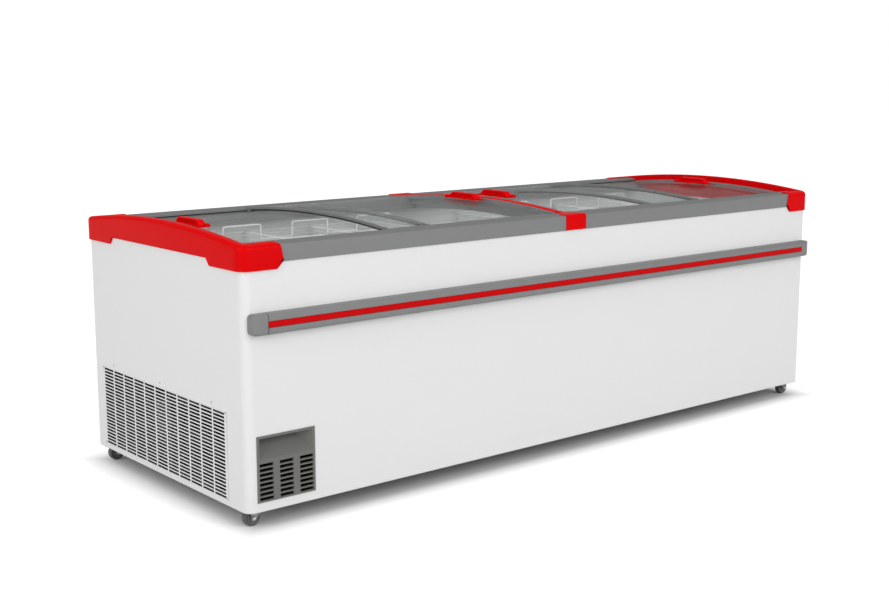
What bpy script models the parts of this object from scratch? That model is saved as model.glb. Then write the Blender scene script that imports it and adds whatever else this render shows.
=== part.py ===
"""Chest freezer with two bays of sliding glass lids, in metres, +Z up, standing on its casters at z = 0.

X runs along the front, Y from the front to the back. The origin is under the middle of the overall box.
"""

import math

import bmesh
import bpy
from mathutils import Matrix, Vector

# Overall casing
BODY_LENGTH = 2.500
BODY_DEPTH = 0.938
WALL_TOP = 0.744
FLOOR_GAP = 0.050
CORNER_RADIUS = 0.028
SHELL_SHEET = 0.0015
GAP = 0.0003

# Top frame: arch of the end caps, rails and their two lid tracks
ARCH_EDGE = 0.002
ARCH_RISE = 0.032
CAP_PROUD = 0.006
CAP_BAND = 0.0295
CAP_RETURN = 0.136
CAP_RETURN_ON_TOP = 0.034
CAP_LOBE_HEIGHT = 0.019
CAP_LOBE_LENGTH = 0.170
CAP_LOBE_LEAN = 0.018
CAP_CHAMFER = 0.022
CAP_LEAN = 0.009
CAP_FLANGE_THICKNESS = 0.006
RAIL_PROUD = 0.003
RAIL_HEIGHT = 0.048
RAIL_ROUND = 0.006
RAIL_TOP_WIDTH = 0.078
TRACK_WIDTH = 0.023
UPPER_TRACK_DEPTH = 0.015
TRACK_STEP = 0.016
TRACK_THICKNESS = 0.011
ARCH_STEPS = 16

# Divider between the bays
DIVIDER_WIDTH = 0.025
DIVIDER_BELOW_ARCH = 0.008
DIVIDER_COVER_THICKNESS = 0.008
DIVIDER_BEAM_DEPTH = 0.044
DIVIDER_CAP_WIDTH = 0.090
DIVIDER_CAP_ON_TOP = 0.028
DIVIDER_CAP_TAPER = 0.028

# Sliding lids: the two beside the divider run above the two beside the end caps
LID_LENGTH = 0.693
LOWER_LID_EXTRA = 0.026
LID_END_CLEARANCE = 0.0025
LID_SIDE_CLEARANCE = 0.001
GLASS_THICKNESS = 0.004
UPPER_GLASS_BELOW_ARCH = 0.0115
LID_LEVEL_STEP = 0.0115
RUNNER_WIDTH = 0.020
OUTER_TRIM_WIDTH = 0.012
INNER_TRIM_WIDTH = 0.008
TRIM_ABOVE_GLASS = 0.0015
TRIM_BELOW_GLASS = 0.008
LID_SEAL_GAP = 0.0005

# Lid handles
HANDLE_SETBACK = 0.026
HANDLE_WIDTH = 0.040
HANDLE_LENGTH = 0.153
HANDLE_HEIGHT = 0.021
HANDLE_BASE_THICKNESS = 0.006
HANDLE_RIB_WIDTH = 0.024
HANDLE_TOP_LENGTH = 0.108
HANDLE_ROUND = 0.003
HANDLE_GROOVE_LENGTH = 0.100
HANDLE_GROOVE_HEIGHT = 0.008
HANDLE_GROOVE_DEPTH = 0.005
HANDLE_GROOVE_LIFT = 0.001
HANDLE_TAB_OVERHANG = 0.007
HANDLE_TAB_LENGTH = 0.028
HANDLE_TAB_WIDTH = 0.016
HANDLE_TAB_HEIGHT = 0.010

# Bumper along the front
BUMPER_BOTTOM = 0.552
BUMPER_HEIGHT = 0.058
BUMPER_REACH = 0.032
BUMPER_INSET = 0.013
BUMPER_END_LENGTH = 0.047
BUMPER_ROUND = 0.009
BUMPER_END_ROUND = 0.021
BUMPER_BACK_ROUND = 0.010
STRIP_HEIGHT = 0.017
STRIP_GROOVE = 0.005
STRIP_RECESS = 0.0006

# Tank, foam and evaporator
LINER_SHEET = 0.0015
TANK_END_WALL = 0.0765
TANK_SIDE_WALL = 0.0915
TANK_FLOOR = 0.140
TANK_STEP_FLOOR = 0.425
TANK_STEP_LENGTH = 0.296
BASKET_LEDGE_HEIGHT = 0.711
BASKET_LEDGE_WIDTH = 0.014
TANK_CORNER = 0.030
COIL_RADIUS = 0.004
COIL_TURNS = 4
COIL_LOWEST = 0.470
COIL_BELOW_LEDGE = 0.021

# Base and machinery space
BASE_HEIGHT = 0.066
BASE_SHEET = 0.003
MACHINE_LENGTH = 0.300
MACHINE_TOP = 0.360

# Slotted panel on the left end
GRILLE_FRONT = 0.100
GRILLE_LENGTH = 0.767
GRILLE_BOTTOM = 0.068
GRILLE_HEIGHT = 0.254
GRILLE_SHEET = 0.0015
GRILLE_BORDER = 0.011
GRILLE_EDGE = 0.003
GRILLE_COLUMNS = 11
GRILLE_ROWS = 24
GRILLE_RIB = 0.006
GRILLE_SLAT = 0.0036
GRILLE_LAP = 0.0025

# Vent panel at the left of the front
VENT_LEFT = 0.032
VENT_LENGTH = 0.191
VENT_BOTTOM = 0.078
VENT_HEIGHT = 0.189
VENT_FLANGE = 0.002
VENT_LAP = 0.0025
VENT_WALL = 0.0055
VENT_RECESS_BORDER = 0.007
VENT_RECESS_HEIGHT = 0.062
VENT_RECESS_DEPTH = 0.040
VENT_COLUMNS = 3
VENT_ROWS = 8
VENT_POST = 0.0215
VENT_SLOT_HEIGHT = 0.0095
VENT_SLOT_PITCH = 0.0137
VENT_SLOT_MARGIN = 0.007
VENT_SLOT_FOOT = 0.005

# Casters
CASTER_FROM_END = 0.058
CASTER_FROM_SIDE = 0.052
CASTER_TRAIL = 0.018
WHEEL_RADIUS = 0.025
WHEEL_WIDTH = 0.022
WHEEL_SHOULDER = 0.004
AXLE_RADIUS = 0.004
AXLE_CLEARANCE = 0.0003
FORK_SHEET = 0.003
FORK_SIDE_GAP = 0.0025
FORK_TOP_GAP = 0.0017
SWIVEL_RADIUS = 0.012
CASTER_PLATE_SIZE = 0.056
CASTER_PLATE_SHEET = 0.003
SWIVEL_RACE_HEIGHT = 0.003

# Baskets
BASKET_ROWS = 3
BASKET_PITCH = 0.262
BASKET_WIDTH = 0.254
BASKET_HEIGHT = 0.220
BASKET_WIRE = 0.004
BASKET_END_CLEARANCE = 0.003
BASKET_LONG_WINDOWS = 4
BASKET_SHORT_WINDOWS = 2
BOW_HEIGHT = 0.052
BOW_WIDTH = 0.145
BOW_SPREAD = 0.365

# Condenser, fan and compressor in the machinery space
CONDENSER_FROM_END = 0.012
CONDENSER_THICKNESS = 0.050
CONDENSER_FRONT = 0.110
CONDENSER_LENGTH = 0.350
CONDENSER_HEIGHT = 0.250
CONDENSER_FINS = 12
CONDENSER_FIN_SHEET = 0.002
CONDENSER_END_SHEET = 0.012
SHROUD_SHEET = 0.003
SHROUD_DEPTH = 0.040
FAN_RADIUS = 0.107
FAN_TIP_CLEARANCE = 0.005
FAN_HUB_RADIUS = 0.030
FAN_HUB_LENGTH = 0.022
FAN_HUB_SETBACK = 0.006
FAN_BLADES = 5
FAN_BLADE_SHEET = 0.002
FAN_BLADE_WIDTH = 0.034
FAN_BLADE_PITCH = math.radians(28)
SHAFT_RADIUS = 0.004
SHAFT_CLEARANCE = 0.0003
SPIDER_BAR = 0.018
SPIDER_HUB_RADIUS = 0.036
SPIDER_HOLE_RADIUS = 0.006
MOTOR_RADIUS = 0.036
MOTOR_LENGTH = 0.052
COMPRESSOR_FROM_END = 0.165
COMPRESSOR_FROM_FRONT = 0.680
COMPRESSOR_RADIUS = 0.082
COMPRESSOR_HEIGHT = 0.190
COMPRESSOR_FLAT_RADIUS = 0.034
COMPRESSOR_FOOT_SHEET = 0.004
COMPRESSOR_FOOT_LENGTH = 0.200
COMPRESSOR_FOOT_WIDTH = 0.170
SUCTION_OFFSET = 0.020
DISCHARGE_OFFSET = -0.024
TUBE_RADIUS = 0.004
TUBE_BEND = 0.015
TUBE_RISE = 0.036
DRIER_RADIUS = 0.011
DRIER_LENGTH = 0.090
CAPILLARY_RADIUS = 0.003
DRIER_HEIGHT = 0.100
THERMOSTAT_SIZE = (0.070, 0.035, 0.050)
THERMOSTAT_PLACE = (0.200, 0.060)
GLAND_FROM_END = 0.200
GLAND_HEIGHT = 0.140
GLAND_RADIUS = 0.0107
GLAND_FLANGE_RADIUS = 0.016
GLAND_FLANGE = 0.004
GLAND_LENGTH = 0.014
GLAND_BORE_RADIUS = 0.004

# Places that follow from the sizes above
LEFT = -BODY_LENGTH / 2
RIGHT = BODY_LENGTH / 2
FRONT = BUMPER_REACH - (BODY_DEPTH + BUMPER_REACH + CAP_PROUD) / 2
REAR = FRONT + BODY_DEPTH
MIDDLE = (FRONT + REAR) / 2
RAIL_TOP = WALL_TOP + RAIL_HEIGHT
ARCH_CROWN = RAIL_TOP + ARCH_EDGE + ARCH_RISE
UPPER_TRACK = RAIL_TOP - UPPER_TRACK_DEPTH
LOWER_TRACK = UPPER_TRACK - TRACK_STEP
UPPER_LID_INSET = RAIL_TOP_WIDTH + LID_SIDE_CLEARANCE
LOWER_LID_INSET = RAIL_TOP_WIDTH + TRACK_WIDTH + LID_SIDE_CLEARANCE
TRACK_EDGE = RAIL_TOP_WIDTH + 2 * TRACK_WIDTH
CAP_INNER = CAP_BAND - CAP_PROUD
LOWER_GLASS_BELOW_ARCH = UPPER_GLASS_BELOW_ARCH + LID_LEVEL_STEP
COIL_OFFSET = LINER_SHEET + GAP + COIL_RADIUS
DIVIDER_CAP_SHEET = CAP_PROUD - RAIL_PROUD - GAP
COIL_PITCH = (BASKET_LEDGE_HEIGHT - COIL_BELOW_LEDGE - COIL_LOWEST) / COIL_TURNS
COIL_SPACE = COIL_OFFSET + COIL_RADIUS + GAP
BASE_TOP = BASE_HEIGHT + BASE_SHEET
FAN_Y = FRONT + CONDENSER_FRONT + CONDENSER_LENGTH / 2
FAN_Z = BASE_TOP + GAP + CONDENSER_HEIGHT / 2

WHITE = (0.80, 0.80, 0.80)
RED = (0.75, 0.01, 0.02)
GREY = (0.22, 0.23, 0.23)
DARK = (0.03, 0.03, 0.03)
STEEL = (0.55, 0.56, 0.58)
COPPER = (0.62, 0.31, 0.18)
FOAM = (0.85, 0.75, 0.50)
PANE = (0.70, 0.78, 0.78)


def clear_scene():
    for obj in list(bpy.data.objects):
        bpy.data.objects.remove(obj, do_unlink=True)


def new_collection(name):
    collection = bpy.data.collections.new(name)
    bpy.context.scene.collection.children.link(collection)
    return collection


def arch_grid():
    """Depths at which the faceted arch has its corners."""
    half = BODY_DEPTH / 2 + CAP_PROUD
    return [MIDDLE + half * (2 * i / ARCH_STEPS - 1) for i in range(ARCH_STEPS + 1)]


def arch(y, below=0.0):
    """Height of the faceted top arch at depth y, lowered by below."""
    half = BODY_DEPTH / 2 + CAP_PROUD
    place = ((y - MIDDLE) / half + 1) * ARCH_STEPS / 2
    step = min(max(math.floor(place), 0), ARCH_STEPS - 1)
    ends = [ARCH_CROWN - ARCH_RISE * (2 * i / ARCH_STEPS - 1) ** 2 for i in (step, step + 1)]
    return ends[0] + (ends[1] - ends[0]) * (place - step) - below


def arch_points(y_from, y_to, below):
    """Points (y, z) along the arch from one depth to another."""
    low, high = sorted((y_from, y_to))
    depths = [low] + [y for y in arch_grid() if low + GAP < y < high - GAP] + [high]
    if y_from > y_to:
        depths.reverse()
    return [(y, arch(y, below)) for y in depths]


def arc(centre, radius, start, end, steps):
    """Points of a circular arc in a plane, angles in degrees."""
    angles = [math.radians(start + (end - start) * i / steps) for i in range(steps + 1)]
    return [(centre[0] + radius * math.cos(a), centre[1] + radius * math.sin(a)) for a in angles]


def rounded_rectangle(low, high, radius, steps=4):
    """Outline of a rectangle with round corners, anticlockwise."""
    x0, y0 = low[0] + radius, low[1] + radius
    x1, y1 = high[0] - radius, high[1] - radius
    return (
        arc((x1, y0), radius, -90, 0, steps)
        + arc((x1, y1), radius, 0, 90, steps)
        + arc((x0, y1), radius, 90, 180, steps)
        + arc((x0, y0), radius, 180, 270, steps)
    )


def mesh_object(name, mesh):
    obj = bpy.data.objects.new(name, mesh)
    PARTS.objects.link(obj)
    return obj


def as_mesh(curve_object):
    """The curve's evaluated surface as a welded mesh object of the same name and place."""
    bpy.context.view_layer.update()
    graph = bpy.context.evaluated_depsgraph_get()
    mesh = bpy.data.meshes.new_from_object(curve_object.evaluated_get(graph))
    work = bmesh.new()
    work.from_mesh(mesh)
    bmesh.ops.remove_doubles(work, verts=work.verts, dist=1e-6)
    bmesh.ops.recalc_face_normals(work, faces=work.faces)
    bmesh.ops.transform(work, matrix=curve_object.matrix_world, verts=work.verts)
    work.to_mesh(mesh)
    work.free()
    name = curve_object.name
    curve = curve_object.data
    bpy.data.objects.remove(curve_object, do_unlink=True)
    bpy.data.curves.remove(curve)
    return mesh_object(name, mesh)


PLANES = {
    "XY": Matrix(((1, 0, 0), (0, 1, 0), (0, 0, 1))),
    "YZ": Matrix(((0, 0, 1), (1, 0, 0), (0, 1, 0))),
    "XZ": Matrix(((1, 0, 0), (0, 0, -1), (0, 1, 0))),
}
THROUGH = {"XY": Vector((0, 0, 1)), "YZ": Vector((1, 0, 0)), "XZ": Vector((0, 1, 0))}


def extrusion(name, outlines, plane, low, high):
    """A filled outline, or an outline and its holes, in one plane, carried from low to high across it."""
    if not isinstance(outlines[0][0], tuple):
        outlines = [outlines]
    curve = bpy.data.curves.new(name, "CURVE")
    curve.dimensions = "2D"
    curve.fill_mode = "BOTH"
    curve.extrude = (high - low) / 2
    for outline in outlines:
        spline = curve.splines.new("POLY")
        spline.points.add(len(outline) - 1)
        for point, place in zip(spline.points, outline):
            point.co = (place[0], place[1], 0, 1)
        spline.use_cyclic_u = True
    obj = bpy.data.objects.new(name, curve)
    PARTS.objects.link(obj)
    obj.matrix_world = Matrix.Translation(THROUGH[plane] * (low + high) / 2) @ PLANES[plane].to_4x4()
    return as_mesh(obj)


def box(name, low, high):
    """A box between two corners."""
    work = bmesh.new()
    bmesh.ops.create_cube(work, size=1)
    size = Vector(high) - Vector(low)
    bmesh.ops.scale(work, vec=size, verts=work.verts)
    bmesh.ops.translate(work, vec=Vector(low) + size / 2, verts=work.verts)
    mesh = bpy.data.meshes.new(name)
    work.to_mesh(mesh)
    work.free()
    return mesh_object(name, mesh)


def boxes(name, corners):
    """Separate boxes in one mesh, used as one cutter."""
    work = bmesh.new()
    for low, high in corners:
        size = Vector(high) - Vector(low)
        made = bmesh.ops.create_cube(work, size=1)["verts"]
        bmesh.ops.scale(work, vec=size, verts=made)
        bmesh.ops.translate(work, vec=Vector(low) + size / 2, verts=made)
    mesh = bpy.data.meshes.new(name)
    work.to_mesh(mesh)
    work.free()
    return mesh_object(name, mesh)


def hull(name, points):
    """The convex solid around some points."""
    work = bmesh.new()
    for point in points:
        work.verts.new(point)
    bmesh.ops.convex_hull(work, input=work.verts)
    bmesh.ops.recalc_face_normals(work, faces=work.faces)
    mesh = bpy.data.meshes.new(name)
    work.to_mesh(mesh)
    work.free()
    return mesh_object(name, mesh)


def cylinder(name, radius, start, end, sides=20):
    """A cylinder between two points."""
    start, end = Vector(start), Vector(end)
    work = bmesh.new()
    length = (end - start).length
    bmesh.ops.create_cone(
        work, cap_ends=True, segments=sides, radius1=radius, radius2=radius, depth=length
    )
    turn = Vector((0, 0, 1)).rotation_difference(end - start).to_matrix().to_4x4()
    place = Matrix.Translation((start + end) / 2) @ turn
    bmesh.ops.transform(work, matrix=place, verts=work.verts)
    mesh = bpy.data.meshes.new(name)
    work.to_mesh(mesh)
    work.free()
    return mesh_object(name, mesh)


def turned(name, profile, place, steps=20):
    """A profile of (radius, height) pairs, listed down its outer side, turned about +Z at a place."""
    mesh = bpy.data.meshes.new(name)
    edges = [(i, i + 1) for i in range(len(profile) - 1)]
    if profile[0][0] > 0:
        edges.append((len(profile) - 1, 0))
    mesh.from_pydata([(radius, 0, height) for radius, height in profile], edges, [])
    obj = mesh_object(name, mesh)
    screw = obj.modifiers.new("turn", "SCREW")
    screw.steps = screw.render_steps = steps
    screw.use_merge_vertices = True
    screw.merge_threshold = 0.00001
    screw.use_normal_calculate = True
    apply_modifiers(obj)
    work = bmesh.new()
    work.from_mesh(obj.data)
    bmesh.ops.remove_doubles(work, verts=work.verts, dist=1e-6)
    bmesh.ops.recalc_face_normals(work, faces=work.faces)
    bmesh.ops.transform(work, matrix=place, verts=work.verts)
    work.to_mesh(obj.data)
    work.free()
    return obj


def bent_path(corners, radius, steps=4):
    """Points of a path through some corners, each rounded off by an arc of a radius that fits."""
    corners = [Vector(c) for c in corners]
    points = [corners[0]]
    for before, corner, after in zip(corners, corners[1:], corners[2:]):
        back, ahead = before - corner, after - corner
        half_angle = back.angle(ahead) / 2
        room = min(back.length, ahead.length) / 2
        bend = min(radius, room * math.tan(half_angle))
        reach = bend / math.tan(half_angle)
        centre = corner + (back.normalized() + ahead.normalized()).normalized() * (
            bend / math.sin(half_angle)
        )
        start = corner + back.normalized() * reach - centre
        end = corner + ahead.normalized() * reach - centre
        sweep = start.angle(end)
        for i in range(steps + 1):
            t = i / steps
            near, far = math.sin((1 - t) * sweep), math.sin(t * sweep)
            points.append(centre + (start * near + end * far) / math.sin(sweep))
    return points + [corners[-1]]


def tube(name, points, radius, swell=None, resolution=1):
    """A round tube along some points; swell gives each point its share of the radius."""
    curve = bpy.data.curves.new(name, "CURVE")
    curve.dimensions = "3D"
    curve.bevel_depth = radius
    curve.bevel_resolution = resolution
    curve.use_fill_caps = True
    spline = curve.splines.new("POLY")
    spline.points.add(len(points) - 1)
    for i, place in enumerate(points):
        spline.points[i].co = (*place, 1)
        spline.points[i].radius = swell[i] if swell else 1
    obj = bpy.data.objects.new(name, curve)
    PARTS.objects.link(obj)
    return as_mesh(obj)


def apply_modifiers(obj):
    bpy.context.view_layer.update()
    graph = bpy.context.evaluated_depsgraph_get()
    mesh = bpy.data.meshes.new_from_object(obj.evaluated_get(graph))
    obj.modifiers.clear()
    obj.data = mesh


def combine(obj, others, operation):
    """Boolean of an object with some others, which are used up."""
    for other in others:
        modifier = obj.modifiers.new(operation, "BOOLEAN")
        modifier.operation = operation
        modifier.solver = "EXACT"
        modifier.object = other
        apply_modifiers(obj)
        bpy.data.objects.remove(other, do_unlink=True)
    return obj


def cut(obj, *cutters):
    return combine(obj, cutters, "DIFFERENCE")


def join(obj, *others):
    return combine(obj, others, "UNION")


def keep(obj, *limits):
    return combine(obj, limits, "INTERSECT")


def rounded(obj, width, segments=2, angle=40):
    """Round edges from a Bevel on the corners sharper than an angle."""
    work = bmesh.new()
    work.from_mesh(obj.data)
    flat = math.radians(0.02)
    bmesh.ops.dissolve_limit(work, angle_limit=flat, verts=work.verts, edges=work.edges)
    work.to_mesh(obj.data)
    work.free()
    bevel = obj.modifiers.new("round", "BEVEL")
    bevel.width = width
    bevel.segments = segments
    bevel.limit_method = "ANGLE"
    bevel.angle_limit = math.radians(angle)
    apply_modifiers(obj)
    return obj


def finish(obj, colour, roughness=0.5, metallic=0.0, alpha=1.0):
    """Gives a part its own material and smooth shading between its flat faces."""
    material = bpy.data.materials.new(obj.name)
    material.use_nodes = True
    shader = material.node_tree.nodes["Principled BSDF"]
    shader.inputs["Base Color"].default_value = (*colour, 1)
    shader.inputs["Roughness"].default_value = roughness
    shader.inputs["Metallic"].default_value = metallic
    shader.inputs["Alpha"].default_value = alpha
    obj.data.materials.clear()
    obj.data.materials.append(material)
    obj.data.shade_smooth()
    obj.data.set_sharp_from_angle(angle=math.radians(35))
    return obj


def set_origin(obj, point):
    """Puts the object's origin on a point, with its shape where it was."""
    obj.data.transform(Matrix.Translation(-Vector(point)))
    obj.location = point


def casing_outline(inset):
    return rounded_rectangle(
        (LEFT + inset, FRONT + inset), (RIGHT - inset, REAR - inset), CORNER_RADIUS - inset
    )


def build_shell():
    shell = extrusion(
        "outer_shell",
        [casing_outline(0), casing_outline(SHELL_SHEET)],
        "XY",
        FLOOR_GAP,
        WALL_TOP - GAP,
    )
    reach = 2 * CORNER_RADIUS
    grille = box(
        "grille_opening",
        (LEFT - reach, FRONT + GRILLE_FRONT + GRILLE_LAP, GRILLE_BOTTOM + GRILLE_LAP),
        (
            LEFT + reach,
            FRONT + GRILLE_FRONT + GRILLE_LENGTH - GRILLE_LAP,
            GRILLE_BOTTOM + GRILLE_HEIGHT - GRILLE_LAP,
        ),
    )
    vent = box(
        "vent_opening",
        (LEFT + VENT_LEFT + VENT_LAP, FRONT - reach, VENT_BOTTOM + VENT_LAP),
        (
            LEFT + VENT_LEFT + VENT_LENGTH - VENT_LAP,
            FRONT + reach,
            VENT_BOTTOM + VENT_HEIGHT - VENT_LAP,
        ),
    )
    gland = cylinder(
        "gland_opening",
        GLAND_RADIUS + GAP,
        (LEFT + GLAND_FROM_END, REAR - reach, GLAND_HEIGHT),
        (LEFT + GLAND_FROM_END, REAR + reach, GLAND_HEIGHT),
        12,
    )
    finish(cut(shell, grille, vent, gland), WHITE, 0.35)
    base = extrusion(
        "base_pan", casing_outline(SHELL_SHEET + GAP), "XY", BASE_HEIGHT, BASE_TOP
    )
    finish(base, STEEL, 0.45, 0.8)


def tank(name, grow, top):
    """The tank's space, grown by some thickness: wide mouth, narrow body, raised floor at the left."""
    step = LEFT + TANK_END_WALL + TANK_STEP_LENGTH - grow
    side = TANK_SIDE_WALL - grow
    mouth = side - BASKET_LEDGE_WIDTH
    left, right = LEFT + TANK_END_WALL - grow, RIGHT - TANK_END_WALL + grow
    radius = TANK_CORNER + grow
    lap = LINER_SHEET
    deep = rounded_rectangle((step, FRONT + side), (right, REAR - side), radius)
    full = rounded_rectangle((left, FRONT + side), (right, REAR - side), radius)
    wide = rounded_rectangle((left, FRONT + mouth), (right, REAR - mouth), radius)
    shape = extrusion(name, deep, "XY", TANK_FLOOR - grow, TANK_STEP_FLOOR - grow + lap)
    raised = extrusion(
        name + "_raised", full, "XY", TANK_STEP_FLOOR - grow, BASKET_LEDGE_HEIGHT - grow + lap
    )
    upper = extrusion(name + "_mouth", wide, "XY", BASKET_LEDGE_HEIGHT - grow, top)
    return join(shape, raised, upper)


def coil_path():
    """Corner points of the evaporator: up from the compressor, then turns round the tank that climb."""
    offset = COIL_OFFSET
    left, right = LEFT + TANK_END_WALL - offset, RIGHT - TANK_END_WALL + offset
    front, back = FRONT + TANK_SIDE_WALL - offset, REAR - TANK_SIDE_WALL + offset
    tail_y = FRONT + COMPRESSOR_FROM_FRONT
    suction_x = LEFT + COMPRESSOR_FROM_END + SUCTION_OFFSET
    suction_z = compressor_top() + GAP
    turn_z = compressor_top() + 1.5 * TUBE_RISE
    corners = [
        (suction_x, tail_y, suction_z),
        (suction_x, tail_y, turn_z),
        (left, tail_y, turn_z),
        (left, tail_y, COIL_LOWEST),
    ]
    loop = [(left, front), (right, front), (right, back), (left, back)]
    for i in range(4 * COIL_TURNS):
        corners.append((*loop[i % 4], COIL_LOWEST + COIL_PITCH * (i + 1) / 4))
    corners[-1] = (left + 4 * TANK_CORNER, *corners[-1][1:])
    return corners


def build_tank():
    liner = tank("inner_liner", LINER_SHEET, WALL_TOP - GAP)
    finish(cut(liner, tank("tank_space", 0, WALL_TOP + RAIL_HEIGHT)), STEEL, 0.4, 0.6)

    foam = extrusion(
        "foam_insulation",
        casing_outline(SHELL_SHEET + GAP),
        "XY",
        BASE_TOP + GAP,
        WALL_TOP - GAP,
    )
    machine = box(
        "machine_space",
        (LEFT - CORNER_RADIUS, FRONT - CORNER_RADIUS, 0),
        (LEFT + MACHINE_LENGTH, REAR + CORNER_RADIUS, MACHINE_TOP),
    )
    path = coil_path()
    tail_hole = cylinder(
        "tail_hole",
        COIL_RADIUS + 3 * GAP,
        (path[3][0], path[3][1], MACHINE_TOP - COIL_SPACE),
        (path[3][0], path[3][1], TANK_STEP_FLOOR),
        10,
    )
    space = tank("foam_space", COIL_SPACE, WALL_TOP + RAIL_HEIGHT)
    finish(cut(foam, machine, space, tail_hole), FOAM, 0.9)

    coil = tube("evaporator_coil", bent_path(path, TANK_CORNER + COIL_OFFSET, 4), COIL_RADIUS)
    finish(coil, COPPER, 0.35, 0.9)


def rail_outline(side):
    """Cross-section (y, z) of a frame rail, from its outer face in; side is 1 at the front, -1 behind."""
    face = FRONT if side > 0 else REAR
    under = LOWER_TRACK - TRACK_THICKNESS
    web = TANK_SIDE_WALL - BASKET_LEDGE_WIDTH + LINER_SHEET
    centre = (-RAIL_PROUD + RAIL_ROUND, RAIL_TOP - RAIL_ROUND)
    profile = [(-RAIL_PROUD, WALL_TOP)]
    profile += arc(centre, RAIL_ROUND, 180, 90, 3)
    profile += [
        (RAIL_TOP_WIDTH, RAIL_TOP),
        (RAIL_TOP_WIDTH, UPPER_TRACK),
        (RAIL_TOP_WIDTH + TRACK_WIDTH, UPPER_TRACK),
        (RAIL_TOP_WIDTH + TRACK_WIDTH, LOWER_TRACK),
        (TRACK_EDGE, LOWER_TRACK),
        (TRACK_EDGE, under),
        (web, under),
        (web, WALL_TOP),
    ]
    return [(face + side * depth, z) for depth, z in profile]


def build_rails():
    for name, side in (("front_rail", 1), ("rear_rail", -1)):
        rail = extrusion(
            name, rail_outline(side), "YZ", LEFT + CAP_INNER + GAP, RIGHT - CAP_INNER - GAP
        )
        finish(rail, GREY, 0.5)


def cap_side_outline():
    """Outline (y, z) of an end cap seen from the end: arched top, and two lobes down the corners."""
    front, back = FRONT - CAP_PROUD, REAR + CAP_PROUD
    low, high = WALL_TOP - CAP_LOBE_HEIGHT, WALL_TOP + CAP_LOBE_HEIGHT / 6
    lobe, lean = CAP_LOBE_LENGTH, CAP_LOBE_LEAN
    bottom = [
        (front, low),
        (front + lobe, low),
        (front + lobe + lean, high),
        (back - lobe - lean, high),
        (back - lobe, low),
        (back, low),
    ]
    return bottom + arch_points(back, front, 0)


def cap_front_outline(x_end, inward):
    """Outline (x, z) of a cap's return on the front: leaning end with a cut lower corner."""
    low = WALL_TOP - CAP_LOBE_HEIGHT
    tip = x_end + inward * CAP_RETURN
    high = ARCH_CROWN
    outline = [
        (x_end, low),
        (tip - inward * CAP_CHAMFER, low),
        (tip, low + CAP_CHAMFER),
        (tip - inward * CAP_LEAN, RAIL_TOP),
        (tip - inward * CAP_LEAN, high),
        (x_end, high),
    ]
    return outline


def build_cap(name, inward):
    """A red end cap: a band over the end wall, with returns that clip over the ends of both rails."""
    x_end = (LEFT if inward > 0 else RIGHT) - inward * CAP_PROUD
    inner = x_end + inward * CAP_BAND
    plan_end = x_end + inward * CAP_RETURN
    margin = CORNER_RADIUS
    x_low, x_high = sorted((x_end, plan_end))
    radius = CORNER_RADIUS + CAP_PROUD
    front, back = FRONT - CAP_PROUD, REAR + CAP_PROUD
    if inward > 0:
        plan = [(x_high, front), (x_high, back)]
        plan += arc((x_low + radius, back - radius), radius, 90, 180, 4)
        plan += arc((x_low + radius, front + radius), radius, 180, 270, 4)
    else:
        plan = [(x_low, back), (x_low, front)]
        plan += arc((x_high - radius, front + radius), radius, -90, 0, 4)
        plan += arc((x_high - radius, back - radius), radius, 0, 90, 4)
    cap = extrusion(name, plan, "XY", WALL_TOP - 2 * CAP_LOBE_HEIGHT, ARCH_CROWN + margin)
    side = extrusion(
        name + "_side", cap_side_outline(), "YZ", x_low - margin, x_high + margin
    )
    returns = extrusion(
        name + "_front", cap_front_outline(x_end, inward), "XZ", front - margin, back + margin
    )
    keep(cap, side, returns)

    casing = extrusion(
        name + "_casing",
        rounded_rectangle(
            (LEFT - GAP, FRONT - GAP), (RIGHT + GAP, REAR + GAP), CORNER_RADIUS + GAP
        ),
        "XY",
        0,
        WALL_TOP,
    )
    opening_x = sorted((inner, plan_end + inward * margin))
    flange_x = sorted((inner, x_end + inward * (CAP_PROUD + TANK_END_WALL + LINER_SHEET)))
    flange_reach = TRACK_EDGE + GAP
    on_top = CAP_RETURN_ON_TOP - CAP_PROUD
    rails = box(
        name + "_rails",
        (opening_x[0], FRONT - RAIL_PROUD - GAP, 0),
        (opening_x[1], REAR + RAIL_PROUD + GAP, RAIL_TOP + GAP),
    )
    mouth = box(
        name + "_mouth",
        (opening_x[0], FRONT + on_top, RAIL_TOP - RAIL_HEIGHT / 2),
        (opening_x[1], REAR - on_top, ARCH_CROWN + 2 * margin),
    )
    cut(cap, casing, rails, mouth)
    flange = box(
        name + "_flange",
        (flange_x[0] - CAP_INNER / 2, FRONT + flange_reach, WALL_TOP),
        (flange_x[1] + CAP_INNER / 2, REAR - flange_reach, WALL_TOP + CAP_FLANGE_THICKNESS),
    )
    edge = box(
        name + "_edge",
        (-abs(x_end) + CAP_PROUD, FRONT, 0),
        (abs(x_end) - CAP_PROUD, REAR, ARCH_CROWN),
    )
    keep(flange, edge)
    join(cap, flange)
    finish(cap, RED, 0.3)


def divider_outline(top, bottom):
    """Outline (y, z) between two arches, stepped at both ends where it sits in the rails' tracks."""
    ends = [
        (RAIL_TOP_WIDTH + GAP, UPPER_TRACK + GAP),
        (RAIL_TOP_WIDTH + TRACK_WIDTH + GAP, UPPER_TRACK + GAP),
        (RAIL_TOP_WIDTH + TRACK_WIDTH + GAP, LOWER_TRACK + GAP),
        (TRACK_EDGE + GAP, LOWER_TRACK + GAP),
    ]
    inner = TRACK_EDGE + GAP
    outline = [(FRONT + depth, z) for depth, z in ends]
    outline += arch_points(FRONT + inner, REAR - inner, bottom)
    outline += [(REAR - depth, z) for depth, z in reversed(ends)]
    first = FRONT + RAIL_TOP_WIDTH + GAP
    last = REAR - RAIL_TOP_WIDTH - GAP
    return outline + arch_points(last, first, top)


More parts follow.
